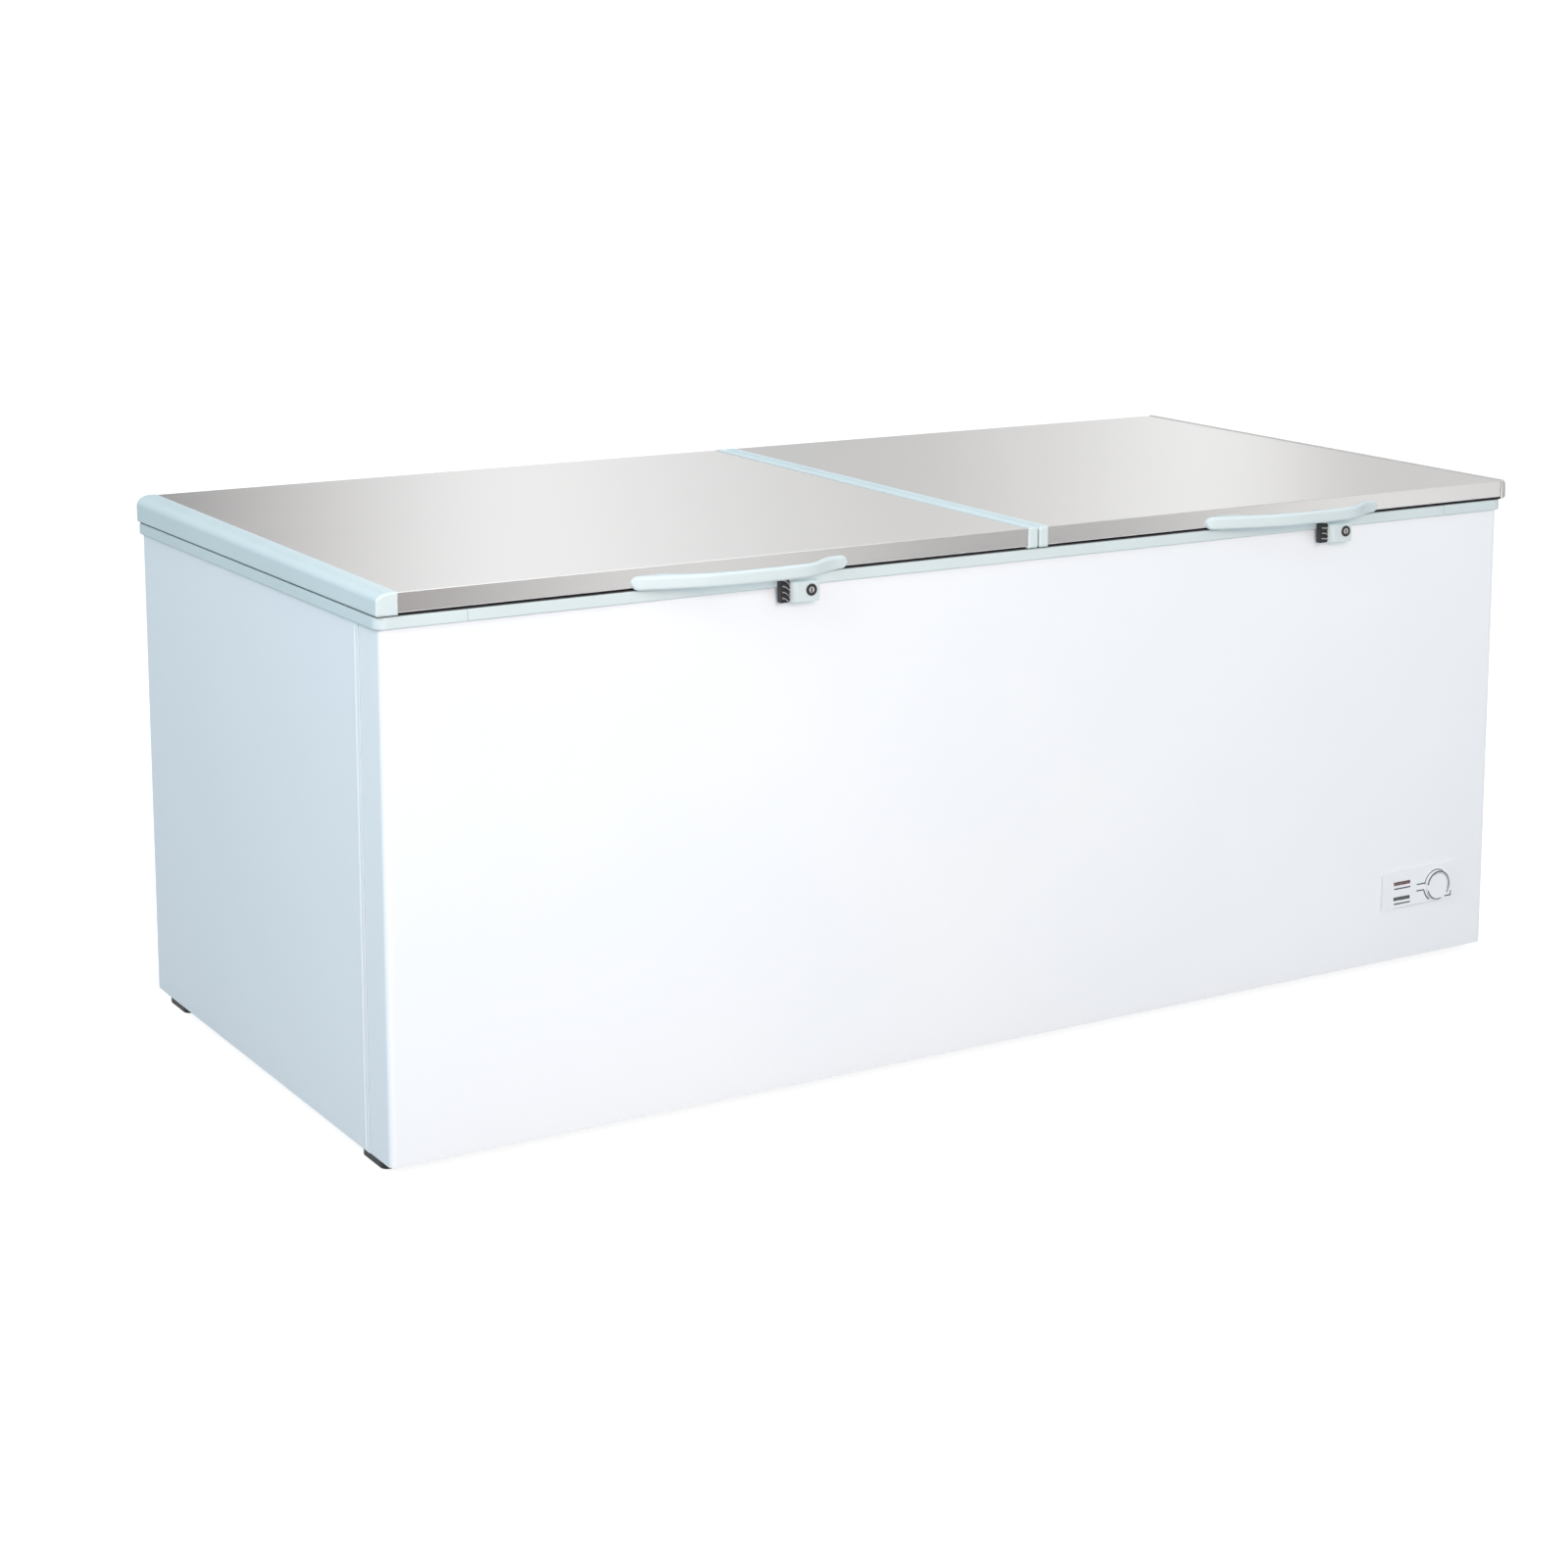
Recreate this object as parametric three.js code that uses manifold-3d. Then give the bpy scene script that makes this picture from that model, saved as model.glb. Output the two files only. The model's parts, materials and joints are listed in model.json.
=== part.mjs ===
// A two-lid chest freezer. Millimetres, +Z up, +X to the right of someone facing it, front towards -Y.
// The origin is on the floor, under the centre of the closed freezer's box.
import * as THREE from 'three';
import { mergeVertices } from 'three/addons/utils/BufferGeometryUtils.js';
import Module from 'manifold-3d';

const wasm = await Module();
wasm.setup();

// Overall size
const LID_WIDTH = 2120;
const LID_DEPTH = 980;
const LID_HEIGHT = 845;
const LID_REAR_RISE = 10;
const HANDLE_REACH = 50;
const HINGE_OFFSET = 14;
const HINGE_RADIUS = 8;
const FLOOR_GAP = 15;

// Sheet and fit
const SHEET = 1.2;
const FIT = 0.3;

// Heights of the rim and the lids
const SKIRT_HEIGHT = 29;
const GASKET_HEIGHT = 5;
const RIM_HEIGHT = 18;
const RIM_PLATE = 4;
const SKIRT_BOTTOM = LID_HEIGHT - SKIRT_HEIGHT;
const RIM_TOP = SKIRT_BOTTOM - GASKET_HEIGHT;
const RIM_BOTTOM = RIM_TOP - RIM_HEIGHT;
const UNDER_RIM = RIM_TOP - RIM_PLATE;

// Plan positions of the lids, the rim and the cabinet
const LID_FRONT = HANDLE_REACH - (HANDLE_REACH + LID_DEPTH + HINGE_OFFSET + HINGE_RADIUS) / 2;
const LID_REAR = LID_FRONT + LID_DEPTH;
const LID_SIDE = LID_WIDTH / 2;
const RIM_INSET = 2;
const RIM_CORNER = 18;
const RIM_REAR_CORNER = 6;
const CABINET_INSET = 8;
const CABINET_CORNER = 10;
const CABINET_SIDE = LID_SIDE - CABINET_INSET;
const CABINET_FRONT = LID_FRONT + CABINET_INSET;
const CABINET_REAR = LID_REAR - CABINET_INSET;
const SEAM_SETBACK = 85;

// The insulated tub
const WALL = 66;
const LINER = 1;
const LINER_CORNER = 8;
const FOAM_SIDE = CABINET_SIDE - 2 * (SHEET + FIT);
const FOAM_FRONT = CABINET_FRONT + SHEET + FIT;
const FOAM_REAR = CABINET_REAR - SHEET - FIT;
const FOAM_BOTTOM = FLOOR_GAP + 5;
const TUB_SIDE = CABINET_SIDE - WALL;
const TUB_FRONT = CABINET_FRONT + WALL;
const TUB_REAR = CABINET_REAR - WALL;
const TUB_FLOOR = FOAM_BOTTOM + WALL;

// The machine compartment at the lower right, and the step it makes in the tub
const MACHINE_WIDTH = 262;
const MACHINE_HEIGHT = 300;
const MACHINE_LEFT = CABINET_SIDE - MACHINE_WIDTH;
const STEP_LEFT = MACHINE_LEFT - 60;
const STEP_TOP = FOAM_BOTTOM + MACHINE_HEIGHT + 50;

// Where the two lids meet
const LID_SPLIT = 60;
const LID_GAP = 2;
const BEAM_WIDTH = 56;
const RIM_SEAM_X = LID_SIDE - 140;

const COLOURS = {
  whitePaint: { color: 0xf2f5f8, roughness: 0.35, metalness: 0 },
  mintPlastic: { color: 0xd2e2e2, roughness: 0.4, metalness: 0 },
  brushedSteel: { color: 0xc9c5c2, roughness: 0.3, metalness: 1 },
  whitePlastic: { color: 0xeceff0, roughness: 0.45, metalness: 0 },
  foam: { color: 0xe6d9a8, roughness: 0.95, metalness: 0 },
  rubber: { color: 0x4c5054, roughness: 0.85, metalness: 0 },
  blackPlastic: { color: 0x23262a, roughness: 0.5, metalness: 0 },
  blackPaint: { color: 0x1a1b1d, roughness: 0.4, metalness: 0 },
  zincSteel: { color: 0x8f9498, roughness: 0.45, metalness: 1 },
  chrome: { color: 0xd8dadc, roughness: 0.12, metalness: 1 },
  aluminium: { color: 0xd4d7d9, roughness: 0.35, metalness: 1 },
  redLens: { color: 0x5a1414, roughness: 0.2, metalness: 0 },
  greenLens: { color: 0x12302c, roughness: 0.2, metalness: 0 },
};

const freezer = new THREE.Group();
freezer.name = 'chest_freezer';

// ---------------------------------------------------------------- solids

function toManifold(geometry) {
  const bare = geometry.clone();
  bare.deleteAttribute('normal');
  bare.deleteAttribute('uv');
  const welded = mergeVertices(bare, 1e-4);
  return new wasm.Manifold(new wasm.Mesh({
    numProp: 3,
    vertProperties: new Float32Array(welded.attributes.position.array),
    triVerts: new Uint32Array(welded.index.array),
  }));
}

function toGeometry(solid) {
  const mesh = solid.getMesh();
  const geometry = new THREE.BufferGeometry();
  geometry.setAttribute('position', new THREE.BufferAttribute(new Float32Array(mesh.vertProperties), 3));
  geometry.setIndex(new THREE.BufferAttribute(new Uint32Array(mesh.triVerts), 1));
  return geometry;
}

function addPart(name, colour, solid) {
  const geometry = toGeometry(solid).toNonIndexed();
  geometry.computeVertexNormals();
  const mesh = new THREE.Mesh(geometry, new THREE.MeshStandardMaterial(COLOURS[colour]));
  mesh.name = name;
  freezer.add(mesh);
}

function box([x0, x1], [y0, y1], [z0, z1]) {
  const block = new THREE.BoxGeometry(x1 - x0, y1 - y0, z1 - z0);
  return toManifold(block.translate((x0 + x1) / 2, (y0 + y1) / 2, (z0 + z1) / 2));
}

function join(solids) {
  return solids.reduce((whole, solid) => whole.add(solid));
}

function cut(solid, tools) {
  return tools.reduce((rest, tool) => rest.subtract(tool), solid);
}

// A bevel rounds the two end edges of an extrusion inside its stated outline and length.
function extrude(shape, length, { bevel = 0, arcSteps = 5 } = {}) {
  return new THREE.ExtrudeGeometry(shape, {
    depth: length - 2 * bevel,
    curveSegments: arcSteps,
    bevelEnabled: bevel > 0,
    bevelThickness: bevel,
    bevelSize: bevel,
    bevelOffset: -bevel,
    bevelSegments: 3,
  }).translate(0, 0, bevel);
}

// An outline in (x, y), raised along Z
function alongZ(shape, [z0, z1], options) {
  return toManifold(extrude(shape, z1 - z0, options).translate(0, 0, z0));
}

// An outline in (y, z), run along X
function alongX(shape, [x0, x1], options) {
  const turn = new THREE.Matrix4().makeBasis(
    new THREE.Vector3(0, 1, 0), new THREE.Vector3(0, 0, 1), new THREE.Vector3(1, 0, 0));
  return toManifold(extrude(shape, x1 - x0, options).applyMatrix4(turn).translate(x0, 0, 0));
}

// An outline in (x, z), run along Y
function alongY(shape, [y0, y1], options) {
  const turn = new THREE.Matrix4().makeBasis(
    new THREE.Vector3(1, 0, 0), new THREE.Vector3(0, 0, 1), new THREE.Vector3(0, -1, 0));
  return toManifold(extrude(shape, y1 - y0, options).applyMatrix4(turn).translate(0, y1, 0));
}

function cylinder(axis, radius, [from, to], [u, v], sides = 24) {
  const rod = new THREE.CylinderGeometry(radius, radius, to - from, sides);
  const middle = (from + to) / 2;
  if (axis === 'x') {
    return toManifold(rod.rotateZ(Math.PI / 2).translate(middle, u, v));
  }
  if (axis === 'y') {
    return toManifold(rod.translate(u, middle, v));
  }
  return toManifold(rod.rotateX(Math.PI / 2).translate(u, v, middle));
}

function polygon(points) {
  return new THREE.Shape(points.map(([a, b]) => new THREE.Vector2(a, b)));
}

function roundedRectangle([a0, a1], [b0, b1], radius, farRadius = radius) {
  const shape = new THREE.Shape();
  shape.moveTo(a0 + radius, b0);
  shape.absarc(a1 - radius, b0 + radius, radius, -Math.PI / 2, 0);
  shape.absarc(a1 - farRadius, b1 - farRadius, farRadius, 0, Math.PI / 2);
  shape.absarc(a0 + farRadius, b1 - farRadius, farRadius, Math.PI / 2, Math.PI);
  shape.absarc(a0 + radius, b0 + radius, radius, Math.PI, 1.5 * Math.PI);
  shape.closePath();
  return shape;
}

function grow([low, high], margin) {
  return [low - margin, high + margin];
}

// ---------------------------------------------------------------- cabinet shell

const CABINET_Z = [FLOOR_GAP, UNDER_RIM - FIT];

function frontPanel() {
  const side = CABINET_SIDE - SHEET - FIT;
  const seam = CABINET_FRONT + SEAM_SETBACK;
  const outside = roundedRectangle([-side, side], [CABINET_FRONT, CABINET_REAR], CABINET_CORNER);
  const inside = roundedRectangle(
    [-side + SHEET, side - SHEET], [CABINET_FRONT + SHEET, CABINET_REAR + 50], CABINET_CORNER - SHEET);
  const shell = alongZ(outside, CABINET_Z).subtract(alongZ(inside, grow(CABINET_Z, 1)));
  const behindSeam = box(grow([-side, side], 5), [seam, CABINET_REAR + 60], grow(CABINET_Z, 5));
  const shaftHole = cylinder('y', KNOB_SHAFT + 1, grow([CABINET_FRONT, CABINET_FRONT], 4), KNOB_CENTRE);
  return cut(shell, [behindSeam, shaftHole]);
}

function sidePanel(sign) {
  const outer = sign * CABINET_SIDE;
  const inner = outer - sign * SHEET;
  return box(
    [Math.min(outer, inner), Math.max(outer, inner)],
    [CABINET_FRONT + SEAM_SETBACK - 12, CABINET_REAR],
    CABINET_Z);
}

// Rows of narrow air slots in the right side, level with the machine compartment
function airSlots() {
  const slots = [];
  const rows = 12;
  for (const start of [FOAM_FRONT + 160, FOAM_FRONT + 480]) {
    for (let row = 0; row < rows; row += 1) {
      const z = FOAM_BOTTOM + 50 + row * 16;
      slots.push(box(grow([CABINET_SIDE, CABINET_SIDE], 5), [start, start + 220], [z, z + 4]));
    }
  }
  return slots;
}

const INLET_CENTRE = [CABINET_SIDE - 120, FLOOR_GAP + 150];
const INLET_BODY = [28, 20];

function around([centre, size]) {
  return [centre - size / 2, centre + size / 2];
}

function inletBlock([width, height], yRange) {
  return box(around([INLET_CENTRE[0], width]), yRange, around([INLET_CENTRE[1], height]));
}

function rearPanel() {
  const side = CABINET_SIDE - SHEET - FIT;
  const sheet = box([-side, side], [CABINET_REAR - SHEET, CABINET_REAR], CABINET_Z);
  const hole = INLET_BODY.map((size) => size + 2 * FIT);
  return sheet.subtract(inletBlock(hole, grow([CABINET_REAR, CABINET_REAR], 5)));
}

// A flanged inlet body that stands through the rear panel, with three contact blades in its socket
function powerInlet() {
  const flange = inletBlock([48, 30], [CABINET_REAR + FIT, CABINET_REAR + 3]);
  const body = inletBlock(INLET_BODY, [CABINET_REAR - 24, CABINET_REAR + 1]);
  const socket = inletBlock([24.4, 16.4], [CABINET_REAR - 18, CABINET_REAR + 5]);
  const blades = [-7, 0, 7].map((offset) => {
    const x = INLET_CENTRE[0] + offset;
    const z = INLET_CENTRE[1] + (offset === 0 ? 2 : -2);
    return box([x - 1, x + 1], [CABINET_REAR - 20, CABINET_REAR - 4], [z - 2, z + 2]);
  });
  return join([flange.add(body).subtract(socket), ...blades]);
}

// Trims a solid to the rounded plan inside the outer panels.
function insideShell(solid) {
  const plan = roundedRectangle([-FOAM_SIDE, FOAM_SIDE], [FOAM_FRONT, FOAM_REAR], CABINET_CORNER);
  return solid.intersect(alongZ(plan, [0, LID_HEIGHT]));
}

const BASE_SHEET = 1.5;
const BASE_BOTTOM = FOAM_BOTTOM - FIT - BASE_SHEET;

function basePan() {
  const depth = [FOAM_FRONT, FOAM_REAR];
  const tray = box([-FOAM_SIDE, FOAM_SIDE], depth, [BASE_BOTTOM, FOAM_BOTTOM - FIT]);
  const lip = box(
    [MACHINE_LEFT + 4, FOAM_SIDE], depth, [FOAM_BOTTOM - 2 * FIT, FOAM_BOTTOM + 25]);
  const hollow = box(
    [MACHINE_LEFT + 6, FOAM_SIDE - 2], grow(depth, -2), [FOAM_BOTTOM - FIT, FOAM_BOTTOM + 30]);
  return insideShell(tray.add(lip.subtract(hollow)));
}

const FOOT_SETBACK = 36;
const FOOT_INSET = 5;
const FOOT_LENGTH = 80;
const FOOT_WIDTH = 60;

function foot(signX, signY) {
  const outerX = CABINET_SIDE - FOOT_INSET;
  const outerY = signY < 0 ? CABINET_FRONT + FOOT_SETBACK : CABINET_REAR - FOOT_SETBACK;
  const xRange = [signX * outerX, signX * (outerX - FOOT_WIDTH)].sort((a, b) => a - b);
  const yRange = [outerY, outerY - signY * FOOT_LENGTH].sort((a, b) => a - b);
  const outline = roundedRectangle(xRange, yRange, 12);
  return alongZ(outline, [0, BASE_BOTTOM - FIT], { bevel: 2, arcSteps: 3 });
}

// ---------------------------------------------------------------- foam walls, liner and evaporator

const TUBE_RADIUS = 4;
const GROOVE = 2 * TUBE_RADIUS + 2;
const COIL_LEVELS = [420, 495, 570, 645, 720];
const COIL_SIDE = TUB_SIDE + LINER + FIT + TUBE_RADIUS + 0.5;
const COIL_FRONT = TUB_FRONT - LINER - FIT - TUBE_RADIUS - 0.5;
const COIL_REAR = TUB_REAR + LINER + FIT + TUBE_RADIUS + 0.5;
const RISER_X = [TUB_SIDE - 140, TUB_SIDE - 100];

// Grooves that hold the evaporator tube against the liner
function tubeGrooves() {
  const half = GROOVE / 2;
  const grooves = COIL_LEVELS.map((z) => {
    const outside = box(
      grow([-COIL_SIDE, COIL_SIDE], half), grow([COIL_FRONT, COIL_REAR], half), [z - half, z + half]);
    const inside = box(
      grow([-COIL_SIDE, COIL_SIDE], -half - 3), grow([COIL_FRONT, COIL_REAR], -half - 3),
      [z - half - 1, z + half + 1]);
    return outside.subtract(inside);
  });
  const risers = box(
    grow(RISER_X, half), grow([COIL_REAR, COIL_REAR], half),
    [COIL_LEVELS[0] - half, COIL_LEVELS[COIL_LEVELS.length - 1] + half]);
  return join([...grooves, risers]);
}

const FOAM_TOP = UNDER_RIM - FIT;
const LINER_OUT = LINER + FIT;
const FOAM_TUB_SIDE = TUB_SIDE + LINER_OUT;
const FOAM_TUB_FRONT = TUB_FRONT - LINER_OUT;
const FOAM_TUB_REAR = TUB_REAR + LINER_OUT;

function foamFloor() {
  return insideShell(box(
    [-FOAM_SIDE, STEP_LEFT - FIT], [FOAM_FRONT, FOAM_REAR],
    [FOAM_BOTTOM, TUB_FLOOR - LINER_OUT]));
}

// The front and rear walls stand on the floor slab and pass over the machine compartment.
function foamLongWall(yRange) {
  const outline = polygon([
    [-FOAM_SIDE, TUB_FLOOR - LINER],
    [STEP_LEFT - FIT, TUB_FLOOR - LINER],
    [STEP_LEFT - FIT, STEP_TOP - LINER],
    [FOAM_TUB_SIDE - FIT, STEP_TOP - LINER],
    [FOAM_TUB_SIDE - FIT, FOAM_TOP],
    [-FOAM_SIDE, FOAM_TOP],
  ]);
  return insideShell(alongY(outline, yRange).subtract(tubeGrooves()));
}

function foamLeftWall() {
  const wall = box(
    [-FOAM_SIDE, -FOAM_TUB_SIDE], grow([FOAM_TUB_FRONT, FOAM_TUB_REAR], -FIT),
    [TUB_FLOOR - LINER, FOAM_TOP]);
  return wall.subtract(tubeGrooves());
}

// The right end stands beside the machine compartment, passes over it and rises behind the tub's end.
function foamRightEnd() {
  const outline = polygon([
    [STEP_LEFT, FOAM_BOTTOM],
    [MACHINE_LEFT, FOAM_BOTTOM],
    [MACHINE_LEFT, FOAM_BOTTOM + MACHINE_HEIGHT],
    [FOAM_SIDE, FOAM_BOTTOM + MACHINE_HEIGHT],
    [FOAM_SIDE, FOAM_TOP],
    [FOAM_TUB_SIDE, FOAM_TOP],
    [FOAM_TUB_SIDE, STEP_TOP - LINER_OUT],
    [STEP_LEFT, STEP_TOP - LINER_OUT],
  ]);
  return insideShell(alongY(outline, [FOAM_FRONT, FOAM_REAR]).subtract(tubeGrooves()));
}

// A tub solid: the storage space, less the step at its right end. Margin grows it on every side.
function tubSolid(margin, top) {
  const plan = roundedRectangle(
    grow([-TUB_SIDE, TUB_SIDE], margin), grow([TUB_FRONT, TUB_REAR], margin), LINER_CORNER + margin);
  const step = box(
    [STEP_LEFT - FIT - LINER + margin, TUB_SIDE + 20],
    grow([TUB_FRONT, TUB_REAR], 20),
    [0, STEP_TOP - margin]);
  return alongZ(plan, [TUB_FLOOR - margin, top]).subtract(step);
}

function innerLiner() {
  return tubSolid(LINER, UNDER_RIM - FIT).subtract(tubSolid(0, UNDER_RIM + 5));
}

function tubeRun(axis, range, centre) {
  return cylinder(axis, TUBE_RADIUS, grow(range, TUBE_RADIUS * 0.7), centre, 8);
}

// Level loops round the tub, joined by risers at the rear; each loop runs back the way of the last.
function evaporatorCoil() {
  const runs = [];
  COIL_LEVELS.forEach((z, level) => {
    const last = level === COIL_LEVELS.length - 1;
    runs.push(tubeRun('x', [-COIL_SIDE, COIL_SIDE], [COIL_FRONT, z]));
    runs.push(tubeRun('y', [COIL_FRONT, COIL_REAR], [-COIL_SIDE, z]));
    runs.push(tubeRun('y', [COIL_FRONT, COIL_REAR], [COIL_SIDE, z]));
    runs.push(tubeRun('x', [-COIL_SIDE, RISER_X[0]], [COIL_REAR, z]));
    runs.push(tubeRun('x', [RISER_X[1], COIL_SIDE], [COIL_REAR, z]));
    if (!last) {
      runs.push(tubeRun('z', [z, COIL_LEVELS[level + 1]], [RISER_X[level % 2], COIL_REAR]));
    }
  });
  return join(runs);
}

// ---------------------------------------------------------------- rim round the opening

const RIM_LIP = 2.5;

function rimRing() {
  const outside = roundedRectangle(
    grow([-LID_SIDE, LID_SIDE], -RIM_INSET), grow([LID_FRONT, LID_REAR], -RIM_INSET),
    RIM_CORNER, RIM_REAR_CORNER);
  const cabinetPlan = box(
    grow([-CABINET_SIDE, CABINET_SIDE], FIT), grow([CABINET_FRONT, CABINET_REAR], FIT),
    [RIM_BOTTOM - 5, UNDER_RIM]);
  const insidePlan = (margin) => roundedRectangle(
    grow([-TUB_SIDE, TUB_SIDE], -margin), grow([TUB_FRONT, TUB_REAR], -margin), LINER_CORNER - margin);
  const lipBlock = alongZ(insidePlan(FIT), [RIM_BOTTOM - 6, UNDER_RIM + 1]);
  const opening = alongZ(insidePlan(FIT + RIM_LIP), grow([RIM_BOTTOM, RIM_TOP], 10));
  const ring = alongZ(outside, [RIM_BOTTOM, RIM_TOP], { bevel: 2.5 });
  return cut(ring, [cabinetPlan.subtract(lipBlock), opening]);
}

function rimPieces() {
  const ring = rimRing();
  const tall = [0, LID_HEIGHT];
  const far = LID_WIDTH;
  const straight = RIM_SEAM_X - 2 * FIT;
  return {
    rim_left: ring.intersect(box([-far, -RIM_SEAM_X], [-far, far], tall)),
    rim_right: ring.intersect(box([RIM_SEAM_X, far], [-far, far], tall)),
    rim_front: ring.intersect(box([-straight, straight], [-far, 0], tall)),
    rim_rear: ring.intersect(box([-straight, straight], [0, far], tall)),
  };
}

// The cross beam that both lids seal against where they meet
function centreBeam() {
  const inset = RIM_LIP + 2 * FIT;
  return box(
    around([LID_SPLIT, BEAM_WIDTH]), grow([TUB_FRONT, TUB_REAR], -inset), [RIM_BOTTOM - 8, RIM_TOP]);
}

// ---------------------------------------------------------------- machine compartment

const COMPRESSOR_CENTRE = [MACHINE_LEFT + 128, FOAM_REAR - 330];
const FAN_CENTRE = [MACHINE_LEFT + 128, FOAM_BOTTOM + 140];
const CONDENSER_Y = [FOAM_FRONT + 190, FOAM_FRONT + 240];
const FAN_Y = CONDENSER_Y[1] + 30;

function compressor() {
  const [x, y] = COMPRESSOR_CENTRE;
  const base = FOAM_BOTTOM + 12;
  const profile = [
    [0, 0], [60, 0], [78, 10], [84, 26], [84, 92], [88, 94], [88, 98], [84, 100], [82, 140], [70, 168],
    [40, 184], [0, 188],
  ].map(([radius, height]) => new THREE.Vector2(radius, height));
  const shell = new THREE.LatheGeometry(profile, 24).rotateX(Math.PI / 2).translate(x, y, base + 4);
  const plate = box(around([x, 210]), around([y, 150]), [base, base + 5]);
  const stubs = [[-92, -60], [92, -60], [-92, 60], [92, 60]].map(([dx, dy]) => cylinder(
    'z', 11, [FOAM_BOTTOM, base + 12], [x + dx, y + dy], 16));
  const terminalBox = box([x - 30, x + 30], [y - 108, y - 76], [base + 60, base + 110]);
  const pipes = [-1, 1].map((side) => cylinder(
    'z', 5, [base + 60, base + 215], [x + side * 76, y + 30], 12));
  return join([toManifold(shell), plate, ...stubs, terminalBox, ...pipes]);
}

// A finned block: a comb outline run the height of the coil
function condenser() {
  const fins = 24;
  const [x0, x1] = [MACHINE_LEFT + 24, FOAM_SIDE - 24];
  const pitch = (x1 - x0) / fins;
  const [y0, y1] = CONDENSER_Y;
  const core = y0 + 8;
  const points = [[x0, core], [x0, y1], [x1, y1], [x1, core]];
  for (let fin = fins - 1; fin >= 1; fin -= 1) {
    const x = x0 + fin * pitch;
    points.push([x + 1, core], [x + 1, y0], [x - 1, y0], [x - 1, core]);
  }
  return alongZ(polygon(points.reverse()), [FOAM_BOTTOM, FOAM_BOTTOM + 270]);
}

function fanMotor() {
  const [x, z] = FAN_CENTRE;
  const can = cylinder('y', 34, [FAN_Y + 22, FAN_Y + 72], FAN_CENTRE, 24);
  const shaft = cylinder('y', 4, [FAN_Y - 8, FAN_Y + 30], FAN_CENTRE, 16);
  const leg = box([x - 18, x + 18], [FAN_Y + 30, FAN_Y + 60], [FOAM_BOTTOM, z]);
  const sole = box([x - 50, x + 50], [FAN_Y + 26, FAN_Y + 64], [FOAM_BOTTOM, FOAM_BOTTOM + 3]);
  return join([can, shaft, leg, sole]);
}

function fanBlade() {
  const [x, z] = FAN_CENTRE;
  const hub = cylinder('y', 18, [FAN_Y - 12, FAN_Y + 12], FAN_CENTRE, 24);
  const bladeCount = 5;
  const blades = [];
  for (let index = 0; index < bladeCount; index += 1) {
    const plate = new THREE.BoxGeometry(84, 2, 44).rotateX(THREE.MathUtils.degToRad(28));
    plate.translate(54, 0, 0).rotateY(index * 2 * Math.PI / bladeCount);
    blades.push(toManifold(plate.translate(x, FAN_Y, z)));
  }
  const bore = cylinder('y', 4.5, grow([FAN_Y, FAN_Y], 30), FAN_CENTRE, 16);
  return join([hub, ...blades]).subtract(bore);
}

// ---------------------------------------------------------------- control panel

const PLATE_THICKNESS = 1.6;
const PLATE_WIDTH = 182;
const PLATE_HEIGHT = 68;
const KNOB_RADIUS = 26;
const KNOB_SHAFT = 4;
const KNOB_CENTRE = [936, 137];
const PLATE_CENTRE = [KNOB_CENTRE[0] - 37, KNOB_CENTRE[1] + 3];
const PLATE_FRONT = CABINET_FRONT - FIT - PLATE_THICKNESS;
const LAMP_SIZE = [37, 5.6];
const LAMP_X = KNOB_CENTRE[0] - 80;
const LAMP_Z = [KNOB_CENTRE[1] + 14, KNOB_CENTRE[1] - 13];

function lampBlock(z, margin, yRange) {
  return box(
    around([LAMP_X, LAMP_SIZE[0] + 2 * margin]), yRange, around([z, LAMP_SIZE[1] + 2 * margin]));
}

function controlPlate() {
  const outline = roundedRectangle(
    around([PLATE_CENTRE[0], PLATE_WIDTH]), around([PLATE_CENTRE[1], PLATE_HEIGHT]), 5);
  const plate = alongY(outline, [PLATE_FRONT, CABINET_FRONT - FIT]);
  const shaftHole = cylinder('y', KNOB_SHAFT + 1, grow([PLATE_FRONT, PLATE_FRONT], 6), KNOB_CENTRE);
  const lampHoles = LAMP_Z.map((z) => lampBlock(z, FIT, grow([PLATE_FRONT, PLATE_FRONT], 6)));
  return cut(plate, [shaftHole, ...lampHoles]);
}

function lamp(z) {
  return lampBlock(z, 0, [PLATE_FRONT - 0.8, CABINET_FRONT - 2 * FIT]);
}

// A round dial with a dished face, an index notch at its lower right and a shaft through the panel
function thermostatKnob() {
  const [x, z] = KNOB_CENTRE;
  const back = PLATE_FRONT - 0.5;
  const profile = [
    [0, 0], [KNOB_RADIUS, 0], [KNOB_RADIUS, 3], [KNOB_RADIUS - 0.6, 7.4], [KNOB_RADIUS - 2, 8.5],
    [KNOB_RADIUS - 4.5, 8.1], [0, 7.5],
  ].map(([radius, height]) => new THREE.Vector2(radius, height));
  const disc = toManifold(new THREE.LatheGeometry(profile, 40).rotateX(Math.PI).translate(x, back, z));
  const notch = box([KNOB_RADIUS - 5, KNOB_RADIUS + 1], [-10, -6.5], [-1.5, 1.5])
    .rotate([0, 45, 0]).translate([x, back, z]);
  const shaft = cylinder('y', KNOB_SHAFT, [back - 2, CABINET_FRONT + 22], KNOB_CENTRE, 20);
  return disc.subtract(notch).add(shaft);
}

// ---------------------------------------------------------------- lids

const LID_TOP = LID_HEIGHT;
const SKIN = 1;
const SKIN_BEND = 4;
const LID_LINER = 2;
const PLUG_DEPTH = 16;
const PLUG_CLEARANCE = 8;
const GASKET_WIDTH = 12;
const GASKET_INSET = 16;
const CAP_DROP = 3;
const CAP_LIP = 8;
const CAP_RISE = 1;
const CAP_OVERLAP = 3;

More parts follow.
